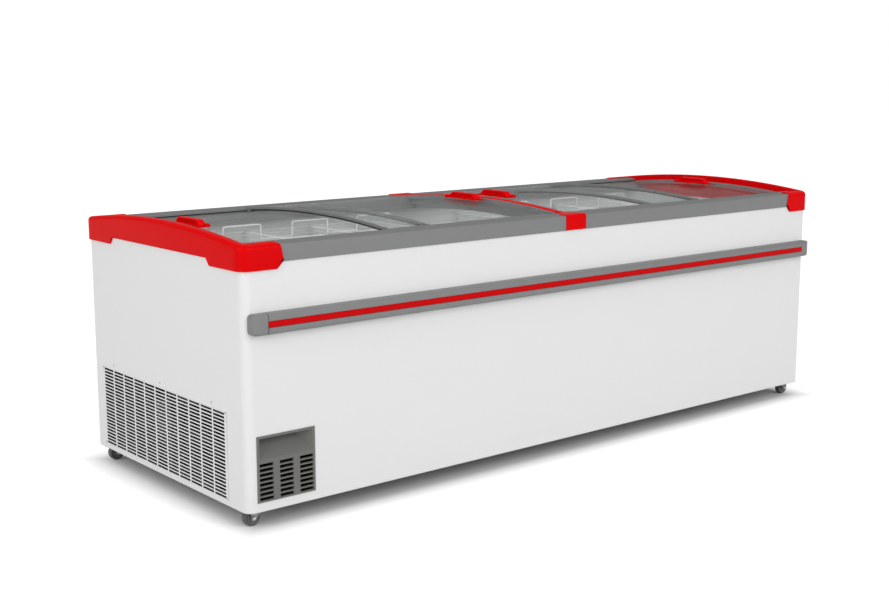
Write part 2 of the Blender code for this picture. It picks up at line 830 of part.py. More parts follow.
def strip_outline(y_from, y_to, top, bottom):
    """Outline (y, z) of an arched strip between two depths below the arch."""
    return arch_points(y_from, y_to, bottom) + arch_points(y_to, y_from, top)


def build_divider():
    half = DIVIDER_WIDTH / 2
    under = DIVIDER_BELOW_ARCH + DIVIDER_COVER_THICKNESS
    outline = divider_outline(under + GAP, under + DIVIDER_BEAM_DEPTH)
    finish(extrusion("divider_beam", outline, "YZ", -half, half), GREY, 0.5)
    inset = RAIL_TOP_WIDTH + GAP
    outline = strip_outline(FRONT + inset, REAR - inset, DIVIDER_BELOW_ARCH, under)
    finish(extrusion("divider_cover", outline, "YZ", -half, half), RED, 0.3)
    wide = DIVIDER_CAP_WIDTH / 2
    for name, face, side in (("divider_front_cap", FRONT, 1), ("divider_rear_cap", REAR, -1)):
        out = face - side * (RAIL_PROUD + GAP + DIVIDER_CAP_SHEET)
        shoulder = face + side * DIVIDER_CAP_ON_TOP
        neck = shoulder + side * DIVIDER_CAP_TAPER
        inner = face + side * RAIL_TOP_WIDTH
        plan = [(-wide, out), (wide, out), (wide, shoulder), (half, neck), (half, inner)]
        plan += [(-half, inner), (-half, neck), (-wide, shoulder)]
        top = extrusion(name, plan, "XY", RAIL_TOP + GAP, RAIL_TOP + GAP + DIVIDER_CAP_SHEET)
        y_low, y_high = sorted((out, face - side * (RAIL_PROUD + GAP)))
        plate = box(
            name + "_plate",
            (-wide, y_low, WALL_TOP + GAP),
            (wide, y_high, RAIL_TOP + GAP + DIVIDER_CAP_SHEET),
        )
        finish(join(top, plate), RED, 0.3)


def lid_trim(name, x_from, x_to, inset, runner_z, top, bottom):
    """An arched end bar of a lid, whose feet reach down to the runners."""
    front, back = FRONT + inset, REAR - inset
    outline = [(front, runner_z), (front + RUNNER_WIDTH, runner_z)]
    outline += arch_points(front + RUNNER_WIDTH, back - RUNNER_WIDTH, bottom)
    outline += [(back - RUNNER_WIDTH, runner_z), (back, runner_z)]
    outline += arch_points(back, front, top)
    return extrusion(name, outline, "YZ", x_from, x_to)


def lid_runner(name, y_outer, y_inner, x_from, x_to, runner_z, below):
    """A lid's sliding edge: a bar under the pane, sloped on top like the arch."""
    outline = [
        (y_outer, runner_z),
        (y_inner, runner_z),
        (y_inner, arch(y_inner, below)),
        (y_outer, arch(y_outer, below)),
    ]
    return extrusion(name, outline, "YZ", x_from, x_to)


def build_handle(name, x_near, inward, glass_top, tab_side):
    """A red pull fixed on a lid's pane: a foot plate, a grooved rib with sloped ends, and an end tab."""
    foot = glass_top - GAP
    plate = foot - HANDLE_BASE_THICKNESS
    top = glass_top - HANDLE_HEIGHT
    half = HANDLE_LENGTH / 2
    x_far = x_near + inward * HANDLE_WIDTH
    middle = (x_near + x_far) / 2
    start = MIDDLE - tab_side * half
    end = MIDDLE + tab_side * (half + HANDLE_TAB_OVERHANG)
    x_low, x_high = sorted((x_near, x_far))
    base = extrusion(name, strip_outline(start, end, plate, foot), "YZ", x_low, x_high)

    sunk = foot - HANDLE_BASE_THICKNESS / 4
    top_half = HANDLE_TOP_LENGTH / 2
    rib_half = half - HANDLE_BASE_THICKNESS
    outline = arch_points(MIDDLE - rib_half, MIDDLE + rib_half, sunk)
    outline += arch_points(MIDDLE + top_half, MIDDLE - top_half, top)
    side = HANDLE_RIB_WIDTH / 2
    rib = extrusion(name + "_rib", outline, "YZ", middle - side, middle + side)
    rounded(rib, HANDLE_ROUND, 2, 60)

    tab_start = end - tab_side * HANDLE_TAB_LENGTH
    tab_end = end - tab_side * HANDLE_ROUND
    x_low, x_high = sorted((x_far - inward * GAP, x_far - inward * HANDLE_TAB_WIDTH))
    outline = strip_outline(tab_start, tab_end, foot - HANDLE_TAB_HEIGHT, sunk)
    tab = extrusion(name + "_tab", outline, "YZ", x_low, x_high)
    join(base, rib, tab)

    groove_half = HANDLE_GROOVE_LENGTH / 2
    low = plate - HANDLE_GROOVE_LIFT
    outline = strip_outline(
        MIDDLE - groove_half, MIDDLE + groove_half, low - HANDLE_GROOVE_HEIGHT, low
    )
    wall = side - HANDLE_GROOVE_DEPTH
    for tag, x_low, x_high in (
        ("left", middle - HANDLE_WIDTH, middle - wall),
        ("right", middle + wall, middle + HANDLE_WIDTH),
    ):
        cut(base, extrusion(f"{name}_{tag}_groove", outline, "YZ", x_low, x_high))
    finish(base, RED, 0.3)


def build_lid(number, x_low, upper, outer_left):
    """One sliding lid: bent pane, frame of two runners and two end bars, and a handle at the outer end."""
    name = f"lid_{number}"
    extra = 0 if upper else LOWER_LID_EXTRA
    x_high = x_low + LID_LENGTH + extra
    outer_width = OUTER_TRIM_WIDTH + extra
    inset = UPPER_LID_INSET if upper else LOWER_LID_INSET
    runner_z = (UPPER_TRACK if upper else LOWER_TRACK) + GAP
    glass_top = UPPER_GLASS_BELOW_ARCH if upper else LOWER_GLASS_BELOW_ARCH
    glass_under = glass_top + GLASS_THICKNESS
    trim_top = glass_top - TRIM_ABOVE_GLASS
    outer_bottom = glass_under + TRIM_BELOW_GLASS
    inner_bottom = LOWER_GLASS_BELOW_ARCH - LID_SEAL_GAP if upper else outer_bottom
    if outer_left:
        outer = (x_low, x_low + outer_width)
        inner = (x_high - INNER_TRIM_WIDTH, x_high)
    else:
        outer = (x_high - outer_width, x_high)
        inner = (x_low, x_low + INNER_TRIM_WIDTH)
    frame = lid_trim(f"{name}_frame", *outer, inset, runner_z, trim_top, outer_bottom)
    inner_bar = lid_trim(f"{name}_inner", *inner, inset, runner_z, trim_top, inner_bottom)
    reach = INNER_TRIM_WIDTH / 2
    runners = []
    for tag, face, side in (("front", FRONT, 1), ("rear", REAR, -1)):
        y_outer = face + side * inset
        y_inner = y_outer + side * RUNNER_WIDTH
        runners.append(
            lid_runner(
                f"{name}_{tag}",
                y_outer,
                y_inner,
                x_low + reach,
                x_high - reach,
                runner_z,
                glass_under + GAP,
            )
        )
    finish(join(frame, inner_bar, *runners), GREY, 0.5)
    pane_low = min(outer[1], inner[1]) + GAP
    pane_high = max(outer[0], inner[0]) - GAP
    edge = inset + GAP
    pane = extrusion(
        f"{name}_glass",
        strip_outline(FRONT + edge, REAR - edge, glass_top, glass_under),
        "YZ",
        pane_low,
        pane_high,
    )
    finish(pane, PANE, 0.05, 0.0, 0.35)
    inward = 1 if outer_left else -1
    x_near = (outer[1] if outer_left else outer[0]) + inward * HANDLE_SETBACK
    build_handle(f"{name}_handle", x_near, inward, glass_top, -inward)


def build_lids():
    left_bay = (LEFT + CAP_INNER, -DIVIDER_WIDTH / 2)
    right_bay = (DIVIDER_WIDTH / 2, RIGHT - CAP_INNER)
    longer = LID_LENGTH + LOWER_LID_EXTRA
    build_lid(1, left_bay[0] + LID_END_CLEARANCE, False, True)
    build_lid(2, left_bay[1] - LID_END_CLEARANCE - LID_LENGTH, True, False)
    build_lid(3, right_bay[0] + LID_END_CLEARANCE, True, True)
    build_lid(4, right_bay[1] - LID_END_CLEARANCE - longer, False, False)


def bumper_outline(groove):
    """Cross-section (y, z) of the bumper: flat back, rounded front, and a groove for the strip."""
    back, face = FRONT - GAP, FRONT - BUMPER_REACH
    low, high = BUMPER_BOTTOM, BUMPER_BOTTOM + BUMPER_HEIGHT
    middle, half = (low + high) / 2, STRIP_HEIGHT / 2 + GAP
    inner = face + BUMPER_ROUND
    outline = [(back, high)]
    outline += arc((inner, high - BUMPER_ROUND), BUMPER_ROUND, 90, 180, 3)
    if groove:
        floor = face + STRIP_GROOVE
        outline += [(face, middle + half), (floor, middle + half)]
        outline += [(floor, middle - half), (face, middle - half)]
    outline += arc((inner, low + BUMPER_ROUND), BUMPER_ROUND, 180, 270, 3)
    return outline + [(back, low)]


def build_bumper():
    start = LEFT + BUMPER_INSET
    rail_start = start + BUMPER_END_LENGTH
    rail = extrusion("bumper_rail", bumper_outline(True), "YZ", rail_start + GAP, -rail_start - GAP)
    finish(rail, GREY, 0.5)
    face = FRONT - BUMPER_REACH
    middle = BUMPER_BOTTOM + BUMPER_HEIGHT / 2
    strip = box(
        "bumper_strip",
        (rail_start + GAP, face + STRIP_RECESS, middle - STRIP_HEIGHT / 2),
        (-rail_start - GAP, face + STRIP_GROOVE - GAP, middle + STRIP_HEIGHT / 2),
    )
    finish(strip, RED, 0.3)
    top = BUMPER_BOTTOM + BUMPER_HEIGHT
    for name, inward in (("bumper_end_left", 1), ("bumper_end_right", -1)):
        x_out = inward * start
        x_in = inward * rail_start
        centre = (x_out + inward * BUMPER_END_ROUND, face + BUMPER_END_ROUND)
        turn = (270, 180) if inward > 0 else (-90, 0)
        back = (x_out + inward * BUMPER_BACK_ROUND, FRONT - GAP - BUMPER_BACK_ROUND)
        plan = [(x_in, FRONT - GAP), (x_in, face)]
        plan += arc(centre, BUMPER_END_ROUND, *turn, 4)
        plan += arc(back, BUMPER_BACK_ROUND, turn[1], 90, 3)
        end = extrusion(name, plan, "XY", BUMPER_BOTTOM - GAP, top + GAP)
        x_low, x_high = sorted((x_out - inward * BUMPER_END_ROUND, x_in + inward * BUMPER_END_ROUND))
        section = extrusion(name + "_section", bumper_outline(False), "YZ", x_low, x_high)
        finish(keep(end, section), GREY, 0.45)


def build_grille():
    front, back = FRONT + GRILLE_FRONT, FRONT + GRILLE_FRONT + GRILLE_LENGTH
    low, high = GRILLE_BOTTOM, GRILLE_BOTTOM + GRILLE_HEIGHT
    panel = box(
        "side_grille", (LEFT - GAP - GRILLE_SHEET, front, low), (LEFT - GAP, back, high)
    )
    wide = (GRILLE_LENGTH - 2 * GRILLE_BORDER + GRILLE_RIB) / GRILLE_COLUMNS
    tall = (GRILLE_HEIGHT - 2 * GRILLE_EDGE + GRILLE_SLAT) / GRILLE_ROWS
    slots = []
    for column in range(GRILLE_COLUMNS):
        y = front + GRILLE_BORDER + column * wide
        for row in range(GRILLE_ROWS):
            z = low + GRILLE_EDGE + row * tall
            slots.append(
                (
                    (LEFT - 4 * GRILLE_SHEET, y, z),
                    (LEFT + 4 * GRILLE_SHEET, y + wide - GRILLE_RIB, z + tall - GRILLE_SLAT),
                )
            )
    finish(cut(panel, boxes("grille_slots", slots)), WHITE, 0.35)


def build_vent():
    left, right = LEFT + VENT_LEFT, LEFT + VENT_LEFT + VENT_LENGTH
    low, high = VENT_BOTTOM, VENT_BOTTOM + VENT_HEIGHT
    lap = VENT_LAP + GAP
    face = FRONT - GAP - VENT_FLANGE
    vent = box("front_vent", (left, face, low), (right, FRONT - GAP, high))
    back = FRONT + VENT_WALL
    body = box(
        "vent_body", (left + lap, FRONT - VENT_FLANGE, low + lap), (right - lap, back, high - lap)
    )
    recess_low = high - VENT_RECESS_BORDER - VENT_RECESS_HEIGHT
    pocket_back = FRONT + VENT_RECESS_DEPTH + VENT_WALL
    pocket = hull(
        "vent_pocket",
        [
            (x, y, z)
            for x in (left + lap, right - lap)
            for y, z in (
                (FRONT, recess_low - VENT_WALL),
                (FRONT, high - lap),
                (pocket_back, high - lap),
                (pocket_back, high - lap - VENT_RECESS_HEIGHT / 3),
            )
        ],
    )
    join(vent, body, pocket)
    border = VENT_RECESS_BORDER
    recess_top = high - border
    deep = FRONT + VENT_RECESS_DEPTH
    shift = VENT_RECESS_DEPTH
    mouth = [
        (x, face - VENT_FLANGE, z)
        for x in (left + border, right - border)
        for z in (recess_low, recess_top)
    ]
    inside = [(left + border + VENT_WALL, deep, recess_top), (right - border - shift, deep, recess_top)]
    inside += [(x, deep, recess_top - VENT_WALL) for x, _, _ in inside]
    recess = hull("vent_recess", mouth + inside)
    slot_width = (VENT_LENGTH - 2 * VENT_SLOT_MARGIN - (VENT_COLUMNS - 1) * VENT_POST) / VENT_COLUMNS
    slots = []
    for column in range(VENT_COLUMNS):
        x = left + VENT_SLOT_MARGIN + column * (slot_width + VENT_POST)
        for row in range(VENT_ROWS):
            z = low + VENT_SLOT_FOOT + row * VENT_SLOT_PITCH
            slots.append(
                (
                    (x, face - VENT_FLANGE, z),
                    (x + slot_width, back + VENT_WALL, z + VENT_SLOT_HEIGHT),
                )
            )
    finish(cut(vent, recess, boxes("vent_slots", slots)), GREY, 0.6)


def build_caster(tag, x, y, outward):
    """A swivel caster: plate under the base, fork with its axle, and a wheel that trails outwards."""
    plate_top = BASE_HEIGHT - GAP
    plate_low = plate_top - CASTER_PLATE_SHEET
    half = CASTER_PLATE_SIZE / 2
    plate = box(f"caster_{tag}_plate", (x - half, y - half, plate_low), (x + half, y + half, plate_top))
    race_low = plate_low - SWIVEL_RACE_HEIGHT
    race = cylinder("race", SWIVEL_RADIUS + FORK_SHEET, (x, y, race_low), (x, y, plate_low + GAP), 16)
    finish(join(plate, race), STEEL, 0.35, 0.9)

    wheel_x = x + outward * CASTER_TRAIL
    leg_in = WHEEL_WIDTH / 2 + FORK_SIDE_GAP
    leg_out = leg_in + FORK_SHEET
    bridge_low = 2 * WHEEL_RADIUS + FORK_TOP_GAP
    bridge_top = bridge_low + FORK_SHEET
    toe = 2 * AXLE_RADIUS
    side = [
        (x - outward * SWIVEL_RADIUS, bridge_top),
        (x - outward * SWIVEL_RADIUS, bridge_low),
        (wheel_x - outward * toe, WHEEL_RADIUS - toe / 2),
        (wheel_x - outward * toe / 2, WHEEL_RADIUS - toe),
        (wheel_x + outward * toe / 2, WHEEL_RADIUS - toe),
        (wheel_x + outward * toe, WHEEL_RADIUS - toe / 2),
        (wheel_x + outward * toe, bridge_top),
    ]
    fork = extrusion(f"caster_{tag}_fork", side, "XZ", y - leg_out, y + leg_out)
    reach = WHEEL_RADIUS + CASTER_TRAIL
    cut(
        fork,
        box("fork_gap", (x - reach, y - leg_in, 0), (x + 2 * reach, y + leg_in, bridge_low))
        if outward > 0
        else box("fork_gap", (x - 2 * reach, y - leg_in, 0), (x + reach, y + leg_in, bridge_low)),
    )
    pivot = cylinder("pivot", SWIVEL_RADIUS, (x, y, bridge_top - GAP), (x, y, race_low - GAP), 16)
    axle_reach = leg_out + FORK_SHEET
    axle = cylinder(
        "axle",
        AXLE_RADIUS,
        (wheel_x, y - axle_reach, WHEEL_RADIUS),
        (wheel_x, y + axle_reach, WHEEL_RADIUS),
        12,
    )
    join(fork, pivot, axle)
    finish(fork, STEEL, 0.35, 0.9)
    set_origin(fork, (x, y, WHEEL_RADIUS))

    bore = AXLE_RADIUS + AXLE_CLEARANCE
    width, shoulder = WHEEL_WIDTH / 2, WHEEL_SHOULDER
    profile = [
        (bore, width + FORK_SIDE_GAP / 2),
        (2 * bore, width + FORK_SIDE_GAP / 2),
        (2 * bore, width - shoulder / 2),
        (WHEEL_RADIUS - 2 * shoulder, width - shoulder / 2),
        (WHEEL_RADIUS - shoulder, width),
        (WHEEL_RADIUS, width - shoulder),
    ]
    profile += [(radius, -height) for radius, height in reversed(profile)]
    place = Matrix.Translation((wheel_x, y, WHEEL_RADIUS)) @ Matrix.Rotation(math.pi / 2, 4, "X")
    wheel = turned(f"caster_{tag}_wheel", profile, place, 20)
    finish(wheel, DARK, 0.6)
    set_origin(wheel, (wheel_x, y, WHEEL_RADIUS))


def build_casters():
    for tag, outward, face, side in (
        ("front_left", -1, FRONT, 1),
        ("front_right", 1, FRONT, 1),
        ("rear_left", -1, REAR, -1),
        ("rear_right", 1, REAR, -1),
    ):
        x = outward * (RIGHT - CASTER_FROM_END)
        build_caster(tag, x, face + side * CASTER_FROM_SIDE, outward)


def windows(start, length, count, wire):
    """Spans between evenly spaced wires."""
    pitch = (length - wire) / count
    return [(start + i * pitch + wire, start + (i + 1) * pitch) for i in range(count)]


def basket_mesh():
    """One basket about the middle of its rim: rim wire, open mesh of wires, and two bows to lift it by."""
    wire = BASKET_WIRE
    half_x = BASKET_WIDTH / 2
    rim_y = BODY_DEPTH / 2 - TANK_SIDE_WALL + BASKET_LEDGE_WIDTH - BASKET_END_CLEARANCE
    half_y = BODY_DEPTH / 2 - TANK_SIDE_WALL - BASKET_END_CLEARANCE
    low = wire - BASKET_HEIGHT
    basket = box("basket", (-half_x, -half_y, low), (half_x, half_y, wire))
    rim = box("rim", (-half_x, -rim_y, 0), (half_x, rim_y, wire))
    join(basket, rim)
    inner = box(
        "inner",
        (wire - half_x, wire - half_y, low + wire),
        (half_x - wire, half_y - wire, 2 * wire),
    )
    cut(basket, inner)
    openings = []
    for y_from, y_to in windows(-half_y, 2 * half_y, BASKET_LONG_WINDOWS, wire):
        for x_from, x_to in windows(-half_x, 2 * half_x, 1, wire):
            openings.append(((x_from, y_from, low - wire), (x_to, y_to, low + 2 * wire)))
        openings.append(((-half_x - wire, y_from, low + wire), (half_x + wire, y_to, -wire)))
    for x_from, x_to in windows(-half_x, 2 * half_x, BASKET_SHORT_WINDOWS, wire):
        openings.append(((x_from, -half_y - wire, low + wire), (x_to, half_y + wire, -wire)))
    for low_corner, high_corner in openings:
        cut(basket, box("window", low_corner, high_corner))
    for y in (-BOW_SPREAD / 2, BOW_SPREAD / 2):
        bar = box(
            "bar",
            (-half_x + wire / 2, y - wire / 2, wire / 4),
            (half_x - wire / 2, y + wire / 2, wire * 3 / 4),
        )
        bow_half = BOW_WIDTH / 2
        bow = box("bow", (-bow_half, y - wire / 2, wire / 2), (bow_half, y + wire / 2, BOW_HEIGHT))
        space = box(
            "bow_space",
            (wire - bow_half, y - wire, -wire),
            (bow_half - wire, y + wire, BOW_HEIGHT - wire),
        )
        cut(bow, space)
        join(basket, bar, bow)
    return basket


def build_baskets():
    first = basket_mesh()
    rest_z = BASKET_LEDGE_HEIGHT + GAP
    tank_left, tank_right = LEFT + TANK_END_WALL, RIGHT - TANK_END_WALL
    half = DIVIDER_WIDTH / 2
    bay_middles = ((tank_left - half) / 2, (tank_right + half) / 2)
    number = 0
    for middle in bay_middles:
        for place in range(BASKET_ROWS):
            number += 1
            x = middle + (place - (BASKET_ROWS - 1) / 2) * BASKET_PITCH
            basket = mesh_object(f"basket_{number}", first.data.copy())
            basket.location = (x, MIDDLE, rest_z)
            finish(basket, WHITE, 0.4)
    bpy.data.objects.remove(first, do_unlink=True)


def compressor_top():
    return BASE_TOP + GAP + COMPRESSOR_FOOT_SHEET + COMPRESSOR_HEIGHT


def build_condenser():
    x0 = LEFT + CONDENSER_FROM_END
    x1 = x0 + CONDENSER_THICKNESS
    y0 = FRONT + CONDENSER_FRONT
    y1 = y0 + CONDENSER_LENGTH
    z0 = BASE_TOP + GAP
    z1 = z0 + CONDENSER_HEIGHT
    block = box("condenser", (x0, y0, z0), (x1, y1, z1))
    clear = CONDENSER_HEIGHT - 2 * CONDENSER_END_SHEET
    pitch = (clear + CONDENSER_FIN_SHEET) / CONDENSER_FINS
    gaps = []
    for i in range(CONDENSER_FINS):
        z = z0 + CONDENSER_END_SHEET + i * pitch
        gaps.append(
            (
                (x0 - CONDENSER_END_SHEET, y0 + CONDENSER_END_SHEET, z),
                (x1 + CONDENSER_END_SHEET, y1 - CONDENSER_END_SHEET, z + pitch - CONDENSER_FIN_SHEET),
            )
        )
    finish(cut(block, boxes("fin_gaps", gaps)), STEEL, 0.4, 0.8)

    ring_from = x1 + GAP
    ring_to = ring_from + SHROUD_DEPTH
    ring_in = FAN_RADIUS + FAN_TIP_CLEARANCE
    ring_out = ring_in + SHROUD_SHEET
    shroud = box("fan_shroud", (ring_from, y0, z0), (ring_from + SHROUD_SHEET, y1, z1))
    ring = cylinder("ring", ring_out, (ring_from, FAN_Y, FAN_Z), (ring_to, FAN_Y, FAN_Z), 24)
    bore = cylinder(
        "ring_bore",
        ring_in,
        (ring_from - SHROUD_SHEET, FAN_Y, FAN_Z),
        (ring_to + SHROUD_SHEET, FAN_Y, FAN_Z),
        24,
    )
    join(shroud, ring)
    cut(shroud, bore)
    spider_from = ring_to - SHROUD_SHEET
    bar = SPIDER_BAR / 2
    span = ring_in + SHROUD_SHEET / 2
    across = box(
        "across", (spider_from, FAN_Y - span, FAN_Z - bar), (ring_to, FAN_Y + span, FAN_Z + bar)
    )
    upright = box(
        "upright", (spider_from, FAN_Y - bar, FAN_Z - span), (ring_to, FAN_Y + bar, FAN_Z + span)
    )
    hub = cylinder(
        "spider_hub", SPIDER_HUB_RADIUS, (spider_from, FAN_Y, FAN_Z), (ring_to, FAN_Y, FAN_Z), 20
    )
    hole = cylinder(
        "spider_hole",
        SPIDER_HOLE_RADIUS,
        (spider_from - SHROUD_SHEET, FAN_Y, FAN_Z),
        (ring_to + SHROUD_SHEET, FAN_Y, FAN_Z),
        12,
    )
    join(across, upright, hub)
    cut(across, hole)
    finish(join(shroud, across), DARK, 0.6)
    build_fan(spider_from, ring_to)


def build_fan(spider_from, spider_to):
    """The fan motor behind the spider, with its shaft, and the blades on the shaft."""
    motor_from = spider_to + GAP
    motor = cylinder(
        "fan_motor",
        MOTOR_RADIUS,
        (motor_from, FAN_Y, FAN_Z),
        (motor_from + MOTOR_LENGTH, FAN_Y, FAN_Z),
        20,
    )
    hub_to = spider_from - FAN_HUB_SETBACK
    hub_from = hub_to - FAN_HUB_LENGTH
    shaft = cylinder(
        "shaft",
        SHAFT_RADIUS,
        (hub_from + FAN_HUB_LENGTH / 4, FAN_Y, FAN_Z),
        (motor_from + MOTOR_LENGTH / 2, FAN_Y, FAN_Z),
        12,
    )
    finish(join(motor, shaft), DARK, 0.5)
    fan = cylinder("fan_blade", FAN_HUB_RADIUS, (hub_from, FAN_Y, FAN_Z), (hub_to, FAN_Y, FAN_Z), 20)
    middle = (hub_from + hub_to) / 2
    tip = math.sqrt(FAN_RADIUS ** 2 - (FAN_BLADE_WIDTH / 2) ** 2)
    for i in range(FAN_BLADES):
        blade = box(
            "blade",
            (-FAN_BLADE_SHEET / 2, -FAN_BLADE_WIDTH / 2, FAN_HUB_RADIUS / 2),
            (FAN_BLADE_SHEET / 2, FAN_BLADE_WIDTH / 2, tip),
        )
        pitch = Matrix.Rotation(math.pi / 2 - FAN_BLADE_PITCH, 4, "Z")
        turn = Matrix.Rotation(2 * math.pi * i / FAN_BLADES, 4, "X")
        blade.data.transform(Matrix.Translation((middle, FAN_Y, FAN_Z)) @ turn @ pitch)
        join(fan, blade)
    bore = cylinder(
        "fan_bore",
        SHAFT_RADIUS + SHAFT_CLEARANCE,
        (hub_from - FAN_HUB_LENGTH, FAN_Y, FAN_Z),
        (hub_to + FAN_HUB_LENGTH, FAN_Y, FAN_Z),
        12,
    )
    finish(cut(fan, bore), STEEL, 0.5)
    set_origin(fan, (middle, FAN_Y, FAN_Z))


def build_compressor():
    x, y = LEFT + COMPRESSOR_FROM_END, FRONT + COMPRESSOR_FROM_FRONT
    z0 = BASE_TOP + GAP
    foot_z = z0 + COMPRESSOR_FOOT_SHEET
    top = compressor_top()
    shoulder = COMPRESSOR_RADIUS / 3
    profile = [
        (0, top - foot_z),
        (COMPRESSOR_FLAT_RADIUS, top - foot_z),
        (COMPRESSOR_RADIUS * 0.86, top - foot_z - shoulder * 0.4),
        (COMPRESSOR_RADIUS, top - foot_z - shoulder),
        (COMPRESSOR_RADIUS, shoulder),
        (COMPRESSOR_RADIUS * 0.86, shoulder * 0.3),
        (COMPRESSOR_RADIUS * 0.7, -COMPRESSOR_FOOT_SHEET / 2),
        (0, -COMPRESSOR_FOOT_SHEET / 2),
    ]
    pot = turned("compressor", profile, Matrix.Translation((x, y, foot_z)), 24)
    half_x, half_y = COMPRESSOR_FOOT_WIDTH / 2, COMPRESSOR_FOOT_LENGTH / 2
    foot = box("foot", (x - half_x, y - half_y, z0), (x + half_x, y + half_y, foot_z))
    finish(join(pot, foot), DARK, 0.4)

    start_x = x + DISCHARGE_OFFSET
    high = top + TUBE_RISE
    condenser_x = LEFT + CONDENSER_FROM_END + CONDENSER_THICKNESS / 2
    condenser_y = FRONT + CONDENSER_FRONT + CONDENSER_LENGTH
    condenser_z = BASE_TOP + CONDENSER_HEIGHT - CONDENSER_END_SHEET / 2
    turn_y = condenser_y + 4 * TUBE_BEND
    corners = [
        (start_x, y, top + GAP),
        (start_x, y, high),
        (start_x, turn_y, high),
        (condenser_x, turn_y, condenser_z),
        (condenser_x, condenser_y + GAP, condenser_z),
    ]
    finish(tube("discharge_tube", bent_path(corners, TUBE_BEND, 3), TUBE_RADIUS), COPPER, 0.35, 0.9)

    drier_from = condenser_y + 3 * TUBE_BEND
    drier_to = drier_from + DRIER_LENGTH
    neck = DRIER_RADIUS
    line = [
        (condenser_y + GAP, 1),
        (drier_from, 1),
        (drier_from + neck, DRIER_RADIUS / CAPILLARY_RADIUS),
        (drier_to - neck, DRIER_RADIUS / CAPILLARY_RADIUS),
        (drier_to, 1),
    ]
    points = [Vector((condenser_x, y_at, DRIER_HEIGHT)) for y_at, _ in line]
    swell = [share for _, share in line]
    tail = bent_path(
        [points[-1], (condenser_x, drier_to + 2 * TUBE_BEND, DRIER_HEIGHT),
         (condenser_x, drier_to + 2 * TUBE_BEND, MACHINE_TOP - GAP)],
        TUBE_BEND,
        3,
    )
    points += tail[1:]
    swell += [1] * (len(tail) - 1)
    finish(tube("filter_drier", points, CAPILLARY_RADIUS, swell), COPPER, 0.35, 0.9)


def build_controls():
    size = THERMOSTAT_SIZE
    x, y = LEFT + THERMOSTAT_PLACE[0], FRONT + THERMOSTAT_PLACE[1]
    top = MACHINE_TOP - GAP
    thermostat = box("thermostat", (x, y, top - size[2]), (x + size[0], y + size[1], top))
    finish(rounded(thermostat, size[1] / 10, 1), DARK, 0.6)
    out = GLAND_FLANGE + GAP
    profile = [
        (GLAND_BORE_RADIUS, out),
        (GLAND_RADIUS, out),
        (GLAND_FLANGE_RADIUS, GLAND_FLANGE / 2),
        (GLAND_FLANGE_RADIUS, GAP),
        (GLAND_RADIUS, GAP),
        (GLAND_RADIUS, out - GLAND_LENGTH),
        (GLAND_BORE_RADIUS, out - GLAND_LENGTH),
    ]
    place = Matrix.Translation((LEFT + GLAND_FROM_END, REAR, GLAND_HEIGHT))
    gland = turned("cord_gland", profile, place @ Matrix.Rotation(-math.pi / 2, 4, "X"), 12)
    finish(gland, DARK, 0.7)


clear_scene()
PARTS = new_collection("chest_freezer")
build_shell()
build_tank()
build_rails()
build_cap("left_end_cap", 1)
build_cap("right_end_cap", -1)
build_divider()
build_lids()
build_bumper()
build_grille()
build_vent()
build_casters()
build_baskets()
build_condenser()
build_compressor()
build_controls()
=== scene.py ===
import math

import bmesh
import bpy
import numpy as np
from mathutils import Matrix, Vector


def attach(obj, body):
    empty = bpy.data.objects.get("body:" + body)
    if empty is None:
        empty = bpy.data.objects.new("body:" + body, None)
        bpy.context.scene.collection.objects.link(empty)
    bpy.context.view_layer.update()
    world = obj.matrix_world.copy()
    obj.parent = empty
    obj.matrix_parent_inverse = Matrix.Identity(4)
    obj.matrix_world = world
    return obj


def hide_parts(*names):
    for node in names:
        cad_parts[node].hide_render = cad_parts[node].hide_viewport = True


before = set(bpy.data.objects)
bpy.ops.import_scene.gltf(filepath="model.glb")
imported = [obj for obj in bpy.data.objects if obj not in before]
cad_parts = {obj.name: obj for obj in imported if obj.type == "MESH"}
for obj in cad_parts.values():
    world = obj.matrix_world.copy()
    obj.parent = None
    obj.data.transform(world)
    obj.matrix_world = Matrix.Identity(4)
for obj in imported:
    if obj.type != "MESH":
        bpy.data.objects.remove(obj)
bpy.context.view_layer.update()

bpy.context.scene.view_settings.view_transform = "Standard"


# The outer casing: one wrap of white powder-coated sheet steel with rounded upright corners.
# Its lower edge is folded in, and it is cut out for the grille, the vent and the mains lead.
left, right = -1.250, 1.250
front, rear = -0.456, 0.482
middle = (front + rear) / 2
wall_top = 0.744
casing_foot = 0.050
casing_corner = 0.028
corner_margin = 0.003
steel_sheet = 0.0012
fold_width = 0.014
fit_gap = 0.0003
white = (0.80, 0.80, 0.80)


